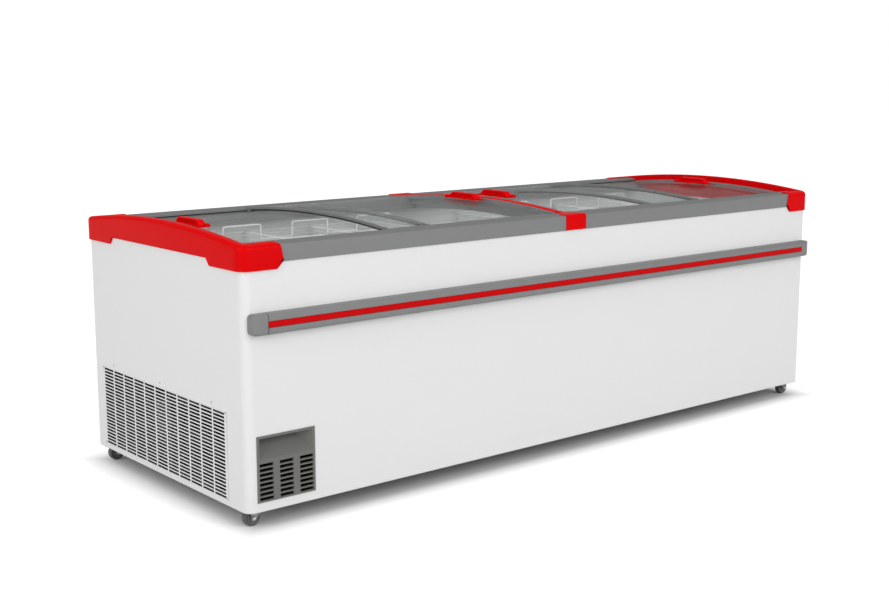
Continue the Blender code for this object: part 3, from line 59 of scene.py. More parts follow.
class Tone:
    """A socket in a material: arithmetic on it adds Math nodes, and node() adds any other node."""

    def __init__(self, tree, socket):
        self.tree = tree
        self.socket = socket

    def node(self, kind, settings, inputs, output=0):
        """Adds a node of a type, makes its settings, then fills its sockets."""
        made = self.tree.nodes.new("ShaderNode" + kind)
        for name, value in settings.items():
            setattr(made, name, value)
        for name, value in inputs.items():
            if isinstance(value, Tone):
                self.tree.links.new(value.socket, made.inputs[name])
            else:
                made.inputs[name].default_value = value
        return Tone(self.tree, made.outputs[output])

    def maths(self, operation, first, second):
        """One Math node on two values."""
        return self.node("Math", {"operation": operation}, {0: first, 1: second})

    def __add__(self, other):
        return self.maths("ADD", self, other)

    def __radd__(self, other):
        return self.maths("ADD", other, self)

    def __sub__(self, other):
        return self.maths("SUBTRACT", self, other)

    def __rsub__(self, other):
        return self.maths("SUBTRACT", other, self)

    def __mul__(self, other):
        return self.maths("MULTIPLY", self, other)

    def __rmul__(self, other):
        return self.maths("MULTIPLY", other, self)

    def stretch(self, scale):
        """These coordinates multiplied by a vector, so that a pattern is drawn out along an axis."""
        return self.node("VectorMath", {"operation": "MULTIPLY"}, {0: self, 1: scale})

    def noise(self, scale, detail=2.0):
        """Soft noise from 0 to 1 at these coordinates."""
        return self.node("TexNoise", {}, {"Vector": self, "Scale": scale, "Detail": detail})

    def cells(self, scale, output="Distance"):
        """Cell pattern at these coordinates."""
        return self.node("TexVoronoi", {}, {"Vector": self, "Scale": scale}, output)

    def between(self, first, second):
        """Colour between two others, by this value."""
        settings = {"data_type": "RGBA"}
        return self.node("Mix", settings, {0: self, 6: (*first, 1), 7: (*second, 1)}, 2)

    def bump(self, strength, distance):
        """Normal of a surface whose height is this value times a distance."""
        return self.node(
            "Bump", {}, {"Strength": strength, "Distance": distance, "Height": self}, "Normal"
        )

    def ray(self, kind):
        """1 for rays of a kind, such as Is Camera Ray, and 0 for all others."""
        return self.node("LightPath", {}, {}, kind)


def finish(name, constants):
    """A material with some constant shader values; returns it, its shader and Object coordinates."""
    material = bpy.data.materials.new(name)
    material.use_nodes = True
    tree = material.node_tree
    shader = tree.nodes["Principled BSDF"]
    for socket, value in constants.items():
        shader.inputs[socket].default_value = value
    coordinates = tree.nodes.new("ShaderNodeTexCoord")
    return material, shader, Tone(tree, coordinates.outputs["Object"])


def feed(shader, socket, tone):
    """Links a varying value to a socket of a shader."""
    tone.tree.links.new(tone.socket, shader.inputs[socket])


def shade(colour, share):
    """A colour made lighter or darker by a share."""
    return tuple(min(1.0, part * share) for part in colour)


def coated(name, colour, roughness, peel, depth, mottle=0.02, constants=None, stretch=(1, 1, 1)):
    """A painted or moulded finish: mottled colour, uneven gloss, and a fine skin texture as bump.

    peel is the texture's scale, depth its height in metres, stretch draws it out along an axis.
    """
    material, shader, place = finish(name, constants or {})
    place = place.stretch(stretch)
    cloud = place.noise(7.0, 3.0)
    grain = place.noise(peel, 2.0)
    feed(shader, "Base Color", cloud.between(shade(colour, 1 - mottle), shade(colour, 1 + mottle)))
    feed(shader, "Roughness", roughness - 0.04 + cloud * 0.05 + grain * 0.03)
    feed(shader, "Normal", grain.bump(0.35, depth))
    return material


def ring_faces(rows, columns, filled=True):
    """Quads between neighbouring rings of a closed section, with the first and last ring filled in."""
    index = np.arange(rows * columns).reshape(rows, columns)
    ahead = np.roll(index, -1, axis=1)
    quads = np.stack([index[:-1], ahead[:-1], ahead[1:], index[1:]], -1).reshape(-1, 4).tolist()
    if filled:
        quads += [index[0, ::-1].tolist(), index[-1].tolist()]
    return quads


def sweep(rings, filled=True):
    """A closed section carried along a path, given as an array of rings (rings, points, 3)."""
    rows, columns = rings.shape[:2]
    return rings.reshape(-1, 3), ring_faces(rows, columns, filled)


def piece(name, parts, material, sharp=35.0, outward=True):
    """A mesh object at the origin from (points, faces) parts, smooth but for edges over an angle."""
    points, faces, first = [], [], 0
    for part_points, part_faces in parts:
        points.append(part_points)
        faces += [[first + corner for corner in face] for face in part_faces]
        first += len(part_points)
    mesh = bpy.data.meshes.new(name)
    mesh.from_pydata(np.concatenate(points).tolist(), [], faces)
    if outward:
        work = bmesh.new()
        work.from_mesh(mesh)
        bmesh.ops.recalc_face_normals(work, faces=work.faces)
        work.to_mesh(mesh)
        work.free()
    mesh.materials.append(material)
    mesh.shade_smooth()
    mesh.set_sharp_from_angle(angle=math.radians(sharp))
    obj = bpy.data.objects.new(name, mesh)
    bpy.context.scene.collection.objects.link(obj)
    return obj


def mount(obj, body, slot, *nodes):
    """Makes a piece ride on a body, in place of some CAD nodes; its slot argument is not used."""
    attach(obj, body)
    if nodes:
        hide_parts(*nodes)


def dress(material, *nodes):
    """Gives CAD nodes that keep their shape a finish."""
    for node in nodes:
        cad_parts[node].material_slots[0].material = material


def casing_path():
    """Stations (x, y, nx, ny) round the casing, anticlockwise from the front's left corner.

    Straight runs have a station at each edge of a cut-out; a corner is a quarter circle.
    """
    radius = casing_corner
    turn = np.linspace(0, np.pi / 2, 17)
    runs = []
    near = left + radius + np.array([0.0, corner_margin])
    x = np.concatenate([near, vent_edges, np.linspace(-0.9, 0.9, 7), -near[::-1]])
    runs.append((x, 0 * x + front, 0 * x, 0 * x - 1))
    c, s = np.cos(turn - np.pi / 2)[1:-1], np.sin(turn - np.pi / 2)[1:-1]
    runs.append((right - radius + radius * c, front + radius + radius * s, c, s))
    sides = np.array([0.0, corner_margin])
    sides = np.concatenate([front + radius + sides, rear - radius - sides[::-1]])
    y = np.concatenate([sides[:2], np.linspace(front + 0.1, rear - 0.1, 3), sides[2:]])
    runs.append((0 * y + right, y, 0 * y + 1, 0 * y))
    c, s = np.cos(turn)[1:-1], np.sin(turn)[1:-1]
    runs.append((right - radius + radius * c, rear - radius + radius * s, c, s))
    x = np.concatenate([-near, np.linspace(0.9, -0.9, 7), lead_edges[::-1], near[::-1]])
    runs.append((x, 0 * x + rear, 0 * x, 0 * x + 1))
    c, s = np.cos(turn + np.pi / 2)[1:-1], np.sin(turn + np.pi / 2)[1:-1]
    runs.append((left + radius + radius * c, rear - radius + radius * s, c, s))
    y = np.concatenate([sides[:1:-1], grille_edges[::-1], sides[1::-1]])
    runs.append((0 * y + left, y, 0 * y - 1, 0 * y))
    c, s = np.cos(turn + np.pi)[1:-1], np.sin(turn + np.pi)[1:-1]
    runs.append((left + radius + radius * c, front + radius + radius * s, c, s))
    return np.concatenate([np.stack(run, -1) for run in runs])


vent_edges = np.array([left + 0.0345, left + 0.2205])
vent_heights = (0.0805, 0.2645)
grille_edges = np.array([front + 0.1025, front + 0.8645])
grille_heights = (0.0705, 0.3195)
lead_place, lead_height, lead_half = left + 0.200, 0.140, 0.0108
lead_edges = np.array([lead_place - lead_half, lead_place + lead_half])
lead_heights = (lead_height - lead_half, lead_height + lead_half)
stations = casing_path()
fold = np.linspace(0, np.pi / 2, 5)
edge_round = 0.003
above_fold = casing_foot + edge_round + 0.0015
cut_heights = sorted([*lead_heights, *vent_heights, *grille_heights])
upright = [above_fold, *cut_heights, wall_top - fit_gap]
insets = np.concatenate([[fold_width], edge_round * (1 - np.sin(fold)), np.zeros(len(upright))])
heights = np.concatenate([[casing_foot], casing_foot + edge_round * (1 - np.cos(fold)), upright])
wall = np.empty((len(heights), len(stations), 3))
wall[..., 0] = stations[:, 0] - insets[:, None] * stations[:, 2]
wall[..., 1] = stations[:, 1] - insets[:, None] * stations[:, 3]
wall[..., 2] = heights[:, None]
around = np.roll(wall, -1, axis=1)
centres = (wall[:-1] + around[:-1] + wall[1:] + around[1:]) / 4


def cut_out(side, across, across_edges, up):
    """Cells of the casing wall that lie in an opening on one side."""
    inside = (centres[..., across] > across_edges[0]) & (centres[..., across] < across_edges[1])
    return side & inside & (centres[..., 2] > up[0]) & (centres[..., 2] < up[1])


gone = cut_out(centres[..., 1] < front + steel_sheet, 0, vent_edges, vent_heights)
gone |= cut_out(centres[..., 0] < left + steel_sheet, 1, grille_edges, grille_heights)
gone |= cut_out(centres[..., 1] > rear - steel_sheet, 0, lead_edges, lead_heights)
wall_quads = np.array(ring_faces(*wall.shape[:2], filled=False))[~gone.reshape(-1)]
white_paint = coated("white_powder_coat", white, roughness=0.36, peel=1100.0, depth=0.00008, mottle=0.008)
# Painted shade: the grey primer on the sheet's back is made nearly black, so the inside of the machinery bay
# seen through the grille stays dark.
back_coat_and_painted_shade = coated("grey_back_coat_and_painted_shade", (0.10, 0.10, 0.10), roughness=0.7, peel=600.0, depth=0.0001, mottle=0.05)
casing = piece("casing", [(wall.reshape(-1, 3), wall_quads.tolist())], white_paint, 40, False)
edge_of_corner = np.empty(len(casing.data.loops), np.int32)
casing.data.loops.foreach_get("edge_index", edge_of_corner)
cut_edges = np.bincount(edge_of_corner, minlength=len(casing.data.edges)) == 1
sharp_edges = np.empty(len(casing.data.edges), bool)
casing.data.edges.foreach_get("use_edge_sharp", sharp_edges)
casing.data.edges.foreach_set("use_edge_sharp", sharp_edges | cut_edges)
sheet = casing.modifiers.new("sheet", "SOLIDIFY")
sheet.thickness = steel_sheet
sheet.offset = -1
sheet.material_offset = 1
casing.data.materials.append(back_coat_and_painted_shade)
mount(casing, "cabinet", "white_paint", "outer_shell")


# The floor pan: hot-dip galvanised sheet that carries the casters and the machinery.
# The zinc shows crystal spangles of different grey.
def galvanised(name, colour, scale):
    """Zinc coat: crystal cells of different grey and gloss on a metal base."""
    material, shader, place = finish(name, {"Metallic": 1.0})
    cell = place.cells(scale, "Color")
    tone = cell.node("SeparateColor", {}, {"Color": cell}, 0)
    feed(shader, "Base Color", tone.between(shade(colour, 0.8), shade(colour, 1.15)))
    feed(shader, "Roughness", 0.32 + tone * 0.2)
    feed(shader, "Normal", place.noise(300.0).bump(0.2, 0.0001))
    return material


dress(galvanised("galvanised_sheet", (0.16, 0.163, 0.17), 90.0), "base_pan")


# The insulation: polyurethane foamed in place between the casing and the tank, so that it bonds both.
# It has fine cells, and its dark brown colour is painted shade, so that what shows through the grille's slots
# stays dark.
def foamed(name, colour):
    """Foam: bubbles as a cell bump, paler where a bubble is open."""
    material, shader, place = finish(name, {"Roughness": 0.9})
    bubble = place.cells(420.0)
    feed(shader, "Base Color", bubble.between(shade(colour, 0.8), colour))
    feed(shader, "Normal", bubble.bump(0.6, 0.0006))
    return material


dress(foamed("painted_shade_foam", (0.05, 0.04, 0.024)), "foam_insulation")


# The tank: pale grey coated sheet, folded with round corners, with a raised floor over the machinery
# and a ledge near the top that the baskets hang on. The evaporator tube is wound round it.
liner_grey = (0.76, 0.765, 0.77)
tank_coat = coated("tank_coat", liner_grey, roughness=0.45, peel=500.0, depth=0.0001, mottle=0.04)
dress(tank_coat, "inner_liner")


def drawn_metal(name, colour, roughness, tarnish):
    """Bare metal: clouded with tarnish, with fine scratches that change the gloss."""
    material, shader, place = finish(name, {"Metallic": 1.0})
    cloud = place.noise(40.0, 4.0)
    scratch = place.stretch((30, 600, 600)).noise(3.0)
    feed(shader, "Base Color", cloud.between(colour, shade(colour, tarnish)))
    feed(shader, "Roughness", roughness + cloud * 0.15 + scratch * 0.08)
    feed(shader, "Normal", scratch.bump(0.15, 0.00005))
    return material


# Painted shade: the copper's colour is made nearly black, so the tube seen through the grille's slots stays
# dark; its clouding is tarnish.
copper = drawn_metal("tarnished_copper_and_painted_shade", (0.07, 0.035, 0.024), roughness=0.45, tarnish=0.6)
dress(copper, "evaporator_coil", "filter_drier")


# The frame rails along the front and the back: grey plastic extrusions that clip on the casing.
# Each has a broad flat top, a rounded outer edge and two stepped tracks for the lids.
# A thin black strip lies on the upper track's inner step, along its length.
rail_top = 0.792
rail_proud = 0.003
rail_round = 0.006
rail_lip = 0.001
rail_back = 0.079
track_edges = (0.078, 0.101, 0.124)
track_heights = (0.777, 0.761)
track_under = 0.750
grey = (0.200, 0.203, 0.203)
grey_plastic = coated("grey_extrusion", grey, roughness=0.46, peel=420.0, depth=0.00006, mottle=0.03,
                      stretch=(0.15, 1, 1))


def quarter(centre, radius, start, end, steps=8):
    """Arc of a circle in a plane, as an array of points."""
    turn = np.radians(np.linspace(start, end, steps + 1))
    return np.stack([centre[0] + radius * np.cos(turn), centre[1] + radius * np.sin(turn)], -1)


def drawn_out(section, low, high):
    """An outline (y, z) extruded along X between two ends."""
    rings = np.empty((2, len(section), 3))
    rings[..., 1:] = section
    rings[0, :, 0] = low
    rings[1, :, 0] = high
    return sweep(rings)


def rail_section(face, side):
    """Cross-section (y, z) of a rail: outer face, round edge, top, two track steps, and back down."""
    bend = quarter((rail_round - rail_proud, rail_top - rail_round), rail_round, 180, 90)
    steps = [
        (track_edges[0] - rail_lip, rail_top),
        (track_edges[0], rail_top - rail_lip),
        (track_edges[0], track_heights[0]),
        (track_edges[1], track_heights[0]),
        (track_edges[1], track_heights[1]),
        (track_edges[2], track_heights[1]),
        (track_edges[2], track_under),
        (rail_back, track_under),
        (rail_back, wall_top),
        (-rail_proud, wall_top),
    ]
    section = np.concatenate([bend, steps])
    return section * (side, 1) + (face, 0)


def block(low, high):
    """A box between two corners."""
    corner = np.array([[0, 0], [1, 0], [1, 1], [0, 1]])
    section = np.array(low[1:]) + corner * (np.array(high[1:]) - np.array(low[1:]))
    return drawn_out(section, low[0], high[0])


cap_band = 0.0235
rail_start, rail_stop = left + cap_band + fit_gap, right - cap_band - fit_gap
dark_line_low, dark_line_high = 0.7815, 0.7850
dark_line_thickness = 0.0008
dark_line_black = coated("black_track_line", (0.010, 0.010, 0.011), roughness=0.8, peel=1500.0, depth=0.0002, mottle=0.1)
for name, face, side in (("front_rail", front, 1), ("rear_rail", rear, -1)):
    part = drawn_out(rail_section(face, side), rail_start, rail_stop)
    rail = piece(name + "_extrusion", [part], grey_plastic, 30)
    mount(rail, "cabinet", "grey_plastic", name)
    inner = sorted(face + side * (track_edges[0] + step) for step in (0.0, dark_line_thickness))
    dark_line = block((rail_start, inner[0], dark_line_low), (rail_stop, inner[1], dark_line_high))
    mount(piece(name + "_pile", [dark_line], dark_line_black, 30), "cabinet", "grey_plastic")


# The end caps: glossy red ABS mouldings that close the frame at both ends.
# Each is arched on top, wraps round the corners, and clips over the ends of the rails.
crown = 0.826
rise = 0.032
half_depth = 0.475
cap_out = 0.006
cap_corner = 0.034
cap_return = 0.136
cap_foot = 0.7472
lobe_foot, lobe_length, lobe_slope = 0.725, 0.170, 0.018
cap_chamfer = 0.022
cap_lean = 0.009
cap_width, return_width = 0.0295, 0.034
cap_wall, return_wall = 0.0056, 0.0026
cap_gap, return_gap = 0.0002, 0.0004
cap_top_round, cap_inner_round, cap_tip_round = 0.012, 0.003, 0.006
red = (0.73, 0.0006, 0.002)
red_plastic = coated("red_moulding", red, roughness=0.30, peel=700.0, depth=0.00005, mottle=0.03,
                     constants={"Specular IOR Level": 0.02, "Coat Weight": 0.05, "Coat Roughness": 0.15})


def arch(y):
    """Height of the top arch: a parabola, highest over the middle of the depth."""
    return crown - rise * ((y - middle) / half_depth) ** 2


def cap_path():
    """Stations (x, y, nx, ny, return share) along the left cap's outer edge, from front tip to rear tip.

    Straight runs joined by quarter circles. The normal points inwards; the share is 0 at the corner
    and 1 at a return's tip.
    """
    x0, y0, y1 = left - cap_out, front - cap_out, rear + cap_out
    share = np.array([1.0, 0.985, 0.96, 0.7, 0.4, 0.0])
    flat = np.full(len(share), x0 + cap_corner)
    turn = np.radians(np.linspace(270, 180, 17))
    arc_x = x0 + cap_corner + cap_corner * np.cos(turn)
    arc_y = y0 + cap_corner + cap_corner * np.sin(turn)
    gap = 0.02
    lobe_ends = [y0 + lobe_length, y0 + lobe_length + lobe_slope]
    back_ends = [y1 - lobe_length - lobe_slope, y1 - lobe_length]
    run = np.concatenate([np.linspace(y0 + cap_corner + gap, lobe_ends[0] - gap, 5), lobe_ends,
                          np.linspace(lobe_ends[1] + gap, back_ends[0] - gap, 25), back_ends,
                          np.linspace(back_ends[1] + gap, y1 - cap_corner - gap, 5)])
    one = np.ones(len(share))
    straight = np.ones(len(run))
    none = np.zeros(len(turn))
    parts = [
        np.stack([flat, y0 * one, 0 * one, one, share], -1),
        np.stack([arc_x, arc_y, -np.cos(turn), -np.sin(turn), none], -1),
        np.stack([x0 * straight, run, straight, 0 * straight, 0 * straight], -1),
        np.stack([arc_x, y0 + y1 - arc_y, -np.cos(turn), np.sin(turn), none], -1)[::-1],
        np.stack([flat, y1 * one, 0 * one, -one, share], -1)[::-1],
    ]
    return np.concatenate(parts), len(share)


def cap_rings():
    """Rings of a cap: the station's section set square to the path, arched on top, lobed below.

    On the returns the section is a thin clip over the rail, and its tip leans and is cut at the foot.
    """
    stations, tip = cap_path()
    on_return = np.zeros((len(stations), 1), bool)
    on_return[:tip] = True
    on_return[-tip:] = True
    from_end = np.minimum(stations[:, 1:2] - front + cap_out, rear + cap_out - stations[:, 1:2])
    foot = lobe_foot + (cap_foot - lobe_foot) * np.clip((from_end - lobe_length) / lobe_slope, 0, 1)
    width = np.where(on_return, return_width, cap_width)
    neck = np.where(on_return, return_wall, cap_wall)
    inner_foot = np.where(on_return, rail_top + return_gap, wall_top + cap_gap)
    none = 0 * foot
    big, small = cap_top_round, cap_inner_round
    face_rows = np.array([0.0, 0.0221, 0.030, 0.038])
    bend = np.radians(np.linspace(180, 90, 9))
    across = np.linspace(0, 1, 8)[1:-1]
    curl = np.radians(np.linspace(90, 0, 5))
    offset = np.hstack([none + 0 * face_rows, none + big + big * np.cos(bend),
                        big + (width - big - small) * across, width - small + small * np.cos(curl),
                        width, neck, neck, none + cap_wall, none + cap_wall])
    drop = np.hstack([none + big - big * np.sin(bend), none + 0 * across,
                      none + small - small * np.sin(curl)])
    y = stations[:, 1:2] + offset * stations[:, 3:4]
    top = arch(y)
    under_top = slice(len(face_rows), len(face_rows) + drop.shape[1])
    seat = none + wall_top + cap_gap
    z = np.hstack([foot + face_rows, top[:, under_top] - drop, inner_foot, inner_foot, seat, seat, foot])
    kink = lobe_foot + cap_chamfer
    reach = cap_return - cap_lean * np.clip((z - kink) / (rail_top - kink), 0, 1) - np.maximum(0, kink - z)
    tuck = np.clip((z - top + cap_tip_round) / cap_tip_round, 0, 1)
    reach -= cap_tip_round * (1 - np.sqrt(1 - tuck ** 2))
    x = stations[:, 0:1] + offset * stations[:, 2:3] + stations[:, 4:5] * (reach - cap_corner)
    return np.stack([x, y, z], -1)


flange_side = track_edges[2] + fit_gap
flange_overlap, flange_reach, flange_sheet = 0.001, 0.078, 0.006
flange = block((left + cap_band - flange_overlap, front + flange_side, wall_top),
               (left + flange_reach, rear - flange_side, wall_top + flange_sheet))
for name, side in (("left_end_cap", 1), ("right_end_cap", -1)):
    mirror = np.array([side, 1, 1])
    parts = [sweep(cap_rings() * mirror), (flange[0] * mirror, flange[1])]
    cap = piece(name + "_moulding", parts, red_plastic, 34)
    mount(cap, "cabinet", "red_plastic", name)


# The divider between the bays: a grey plastic beam that stands in the tracks of both rails.
# A red arched strip covers it, and red clips lock the strip over the rails.
divider_half = 0.0125
divider_below = 0.008
cover_thickness = 0.008
cover_lip, cover_crown = 0.002, 0.0008
inner_edge = track_edges[0] + fit_gap
dress(grey_plastic, "divider_beam")
depths = np.linspace(front + inner_edge, rear - inner_edge, 65)
strip_x = np.array([-1, -1, -0.8, 0, 0.8, 1, 1]) * divider_half
strip_drop = np.array([cover_thickness, cover_lip, 0, -cover_crown, 0, cover_lip, cover_thickness])
strip = np.empty((len(depths), len(strip_x), 3))
strip[..., 0] = strip_x
strip[..., 1] = depths[:, None]
strip[..., 2] = (arch(depths) - divider_below)[:, None] - strip_drop
cover = piece("divider_strip", [sweep(strip)], red_plastic, 40)
mount(cover, "cabinet", "red_plastic", "divider_cover")

clip_half = 0.045
clip_sheet = 0.0027
clip_lip = 0.0012
clip_foot = wall_top + 0.0006
clip_depths = (0.028, 0.056, 0.0776)


def clip_line(away):
    """Line (depth, height) at a distance from the rail: up its face, round its edge and inwards."""
    bend = quarter((rail_round - rail_proud, rail_top - rail_round), rail_round + away, 180, 90)
    tongue = [(depth, rail_top + away) for depth in clip_depths]
    return np.concatenate([[(-rail_proud - away, clip_foot)], bend, tongue])


def clip_part(face, side):
    """A clip: a plate up the rail's face that bends over its edge, and a tongue that narrows on top.

    Each ring is a strip of even thickness, between a line close to the rail and one further out.
    """
    under = clip_line(fit_gap)
    over = clip_line(fit_gap + clip_sheet)
    half = np.full(len(under), clip_half)
    half[-2:] = divider_half
    rings = np.empty((len(under), 6, 3))
    rings[..., 0] = np.stack([-half, -half, clip_lip - half, half - clip_lip, half, half], -1)
    blend = np.array([0.0, 0.6, 1.0, 1.0, 0.6, 0.0])[None, :, None]
    flat = under[:, None] * (1 - blend) + over[:, None] * blend
    rings[..., 1] = face + side * flat[..., 0]
    rings[..., 2] = flat[..., 1]
    return sweep(rings)


for name, face, side in (("divider_front_cap", front, 1), ("divider_rear_cap", rear, -1)):
    clip = piece(name + "_clip", [clip_part(face, side)], red_plastic, 40)
    mount(clip, "cabinet", "red_plastic", name)


# The sliding lids: bent 4 mm safety glass in a grey plastic frame, two to a bay.
# The inner two run in the upper tracks, the outer two below them; each has a moulded red pull.
# A lid's sizes are its two ends, whether it runs in the upper tracks, and the side of its pull.
lid_sizes = {
    1: (left + 0.026, left + 0.745, False, 1),
    2: (left + 0.542, left + 1.235, True, -1),
    3: (left + 1.265, left + 1.958, True, 1),
    4: (left + 1.755, left + 2.474, False, -1),
}
glass_sheet = 0.004
glass_drop = {True: 0.0115, False: 0.023}
outer_bar = {True: 0.012, False: 0.038}
inner_bar = 0.008
trim_up = 0.0015
trim_down = 0.008
trim_under = 0.002
glass_lip = 0.0004
seal_play, seal_gap, seal_lip = 0.001, 0.0002, 0.0005
seal_foot = 0.0224
runner_width = 0.020
runner_play = 0.001
pull_inset = 0.046
straight_view = 0.82
black = (0.012, 0.012, 0.013)
seal_rubber = coated("black_seal", black, roughness=0.6, peel=800.0, depth=0.0001, mottle=0.05)


def clear_glass(name):
    """Clear bent glass with a slight green cast; wiping marks change its gloss.

    Most of what is seen through it passes straight, as through a thin pane, and so does all light on its
    way to a matt surface. The rest is bent and mirrored by the solid glass.
    """
    material, shader, place = finish(
        name, {"Base Color": (0.96, 0.98, 0.97, 1), "Transmission Weight": 1.0, "IOR": 1.45}
    )
    wipe = place.stretch((2, 9, 9)).noise(4.0, 3.0)
    feed(shader, "Roughness", wipe * 0.012)
    tree = material.node_tree
    passing = place.ray("Is Shadow Ray") + place.ray("Is Diffuse Ray")
    passing = passing.maths("MAXIMUM", passing, straight_view)
    clear = place.node("BsdfTransparent", {}, {"Color": (0.97, 0.98, 0.975, 1)})
    solid = Tone(tree, shader.outputs[0])
    mixed = place.node("MixShader", {}, {0: passing, 1: solid, 2: clear})
    tree.links.new(mixed.socket, tree.nodes["Material Output"].inputs["Surface"])
    return material


lid_glass = clear_glass("bent_glass")


def arched_bar(x_from, x_to, y_from, y_to, top, bottom, lip=0.001, steps=49):
    """A bar across the depth that follows the arch, between two drops below it, with a soft top."""
    y = np.linspace(y_from, y_to, steps)
    x = np.array([x_from, x_from, x_from + lip, x_to - lip, x_to, x_to])
    drop = np.array([bottom, top + lip, top, top, top + lip, bottom])
    rings = np.empty((steps, 6, 3))
    rings[..., 0] = x
    rings[..., 1] = y[:, None]
    rings[..., 2] = arch(y)[:, None] - drop
    return sweep(rings)


def pull_part(x_mid, glass_top, side):
    """A lid pull: a foot plate with a waisted rib whose ends slope down, carried along the arch.

    The rib's height falls to the plate at both ends; between the grooves it is narrow below its head.
    """
    half, rib, head, groove = 0.0765, 0.0705, 0.054, 0.050
    plate_half, plate, plate_lip = 0.020, 0.006, 0.0012
    rib_half, rib_tall, rib_round, waist_cut = 0.012, 0.021, 0.003, 0.005
    slope = [np.linspace(-rib + 0.001, -head, 5), np.linspace(-head + 0.001, -groove, 3)]
    y = np.concatenate([[-half, -rib], *slope])
    sloped = len(y)
    y = np.concatenate([y, [-groove], np.linspace(-groove, groove, 15)[1:-1], [groove], -y[::-1]])
    waist = (np.abs(y) <= groove).astype(float)
    waist[:sloped] = 0
    waist[-sloped:] = 0
    lift = np.clip((rib - np.abs(y)) / (rib - head), 0, 1)
    ease = np.clip((rib - np.abs(y)) / (rib - head) - 0.8, 0, 0.2)
    lift = lift - ease * 0.1
    bend = np.radians(np.linspace(0, 90, 5))
    head_x = rib_half - rib_round + rib_round * np.cos(bend)
    head_z = rib_tall - rib_round + rib_round * np.sin(bend)
    x = np.concatenate([[plate_half, plate_half, plate_half - plate_lip], [rib_half] * 4, head_x])
    z = np.concatenate([[fit_gap, plate - plate_lip, plate, plate, plate + 0.001, 0.015, 0.0155], head_z])
    x_rows = np.tile(x, (len(y), 1))
    x_rows[:, 4:6] -= waist_cut * waist[:, None]
    z_rows = np.where(z > plate, plate + (z - plate) * lift[:, None], z)
    x_rows = np.concatenate([x_rows, -x_rows[:, ::-1]], 1)
    z_rows = np.concatenate([z_rows, z_rows[:, ::-1]], 1)
    rings = np.empty((*x_rows.shape, 3))
    rings[..., 0] = x_mid + x_rows
    rings[..., 1] = middle + y[:, None]
    rings[..., 2] = arch(middle + y)[:, None] - glass_top + z_rows
    foot_length = 0.007
    foot_y = sorted((middle + side * half, middle + side * (half + foot_length)))
    foot = arched_bar(x_mid - plate_half, x_mid + plate_half, *foot_y,
                      glass_top - plate, glass_top - fit_gap, plate_lip, 3)
    tab_y = sorted(middle + side * place for place in (0.0555, 0.0805))
    tab_x = sorted(x_mid - side * place for place in (0.0197, 0.004))
    tab_top, tab_under, tab_lip = 0.0103, 0.003, 0.002
    tab = arched_bar(*tab_x, *tab_y, glass_top - tab_top, glass_top - tab_under, tab_lip, 5)
    return [sweep(rings), foot, tab]


for number, (x_low, x_high, upper, outer) in lid_sizes.items():
    body = f"lid_{number}"
    track = 0 if upper else 1
    inset = track_edges[track] + runner_play
    runner = track_heights[track] + fit_gap
    glass_top = glass_drop[upper]
    under = glass_top + glass_sheet
    wide = outer_bar[upper]
    y_front, y_rear = front + inset, rear - inset
    between = (y_front + runner_width, y_rear - runner_width)
    ends = {1: (x_low, x_low + wide), -1: (x_high - wide, x_high)}[outer]
    inner = {1: (x_high - inner_bar, x_high), -1: (x_low, x_low + inner_bar)}[outer]
    parts = [
        arched_bar(*ends, *between, glass_top - trim_up, under + trim_down),
        arched_bar(*inner, *between, glass_top - trim_up, under + trim_under),
    ]
    bar_low, bar_high = sorted((ends, inner))
    for face, inner_y in ((y_front, between[0]), (y_rear, between[1])):
        for bar, drop in ((bar_low, glass_top - trim_up), (bar_high, glass_top - trim_up),
                          ((bar_low[1], bar_high[0]), under + fit_gap)):
            shoe = [(face, runner), (inner_y, runner),
                    (inner_y, arch(inner_y) - drop), (face, arch(face) - drop)]
            parts.append(drawn_out(np.array(shoe), *bar))
    trim = piece(f"{body}_trim", parts, grey_plastic, 30)
    mount(trim, body, "grey_plastic", f"{body}_frame")
    seal = arched_bar(inner[0] + seal_play, inner[1] - seal_play, *between,
                      under + trim_under + seal_gap, seal_foot if upper else under + trim_down, seal_lip)
    mount(piece(f"{body}_seal", [seal], seal_rubber, 30), body, "grey_plastic")
    pane = arched_bar(bar_low[1] + fit_gap, bar_high[0] - fit_gap, y_front + fit_gap, y_rear - fit_gap,
                      glass_top, under, glass_lip, 97)
    mount(piece(f"{body}_pane", [pane], lid_glass, 30), body, "lid_glass", f"{body}_glass")
    x_mid = (ends[1] if outer > 0 else ends[0]) + outer * pull_inset
    pull = piece(f"{body}_pull", pull_part(x_mid, glass_top, -outer), red_plastic, 32)
    mount(pull, body, "red_plastic", f"{body}_handle")


# The bumper along the front: a grey plastic extrusion with a red insert pressed into its groove.
# Moulded ends close it, rounded off so that trolleys and clothes don't catch.
bumper_low, bumper_high = 0.552, 0.610
bumper_centre = (bumper_low + bumper_high) / 2
bumper_reach = 0.032
bumper_start = left + 0.013
bumper_end = 0.047
bumper_round = 0.009
bumper_back = front - fit_gap
bumper_seam = 0.0012
face_y = front - bumper_reach
strip_half = 0.0085
groove_play, groove_deep = 0.0009, 0.005
insert_sunk, insert_edge = 0.0006, 0.001
end_gap = 0.001


def bumper_section(groove):
    """Cross-section (y, z) of the bumper: flat back, two round front edges, and the insert's groove."""
    upper = quarter((face_y + bumper_round, bumper_high - bumper_round), bumper_round, 90, 180)
    lower = quarter((face_y + bumper_round, bumper_low + bumper_round), bumper_round, 180, 270)
    half = strip_half + groove_play
    slot = [(face_y, bumper_centre + half), (face_y + groove_deep, bumper_centre + half),
            (face_y + groove_deep, bumper_centre - half), (face_y, bumper_centre - half)]
    top, foot = [(bumper_back, bumper_high)], [(bumper_back, bumper_low)]
    rows = [top, upper, slot, lower, foot] if groove else [top, upper, lower, foot]
    return np.concatenate(rows)


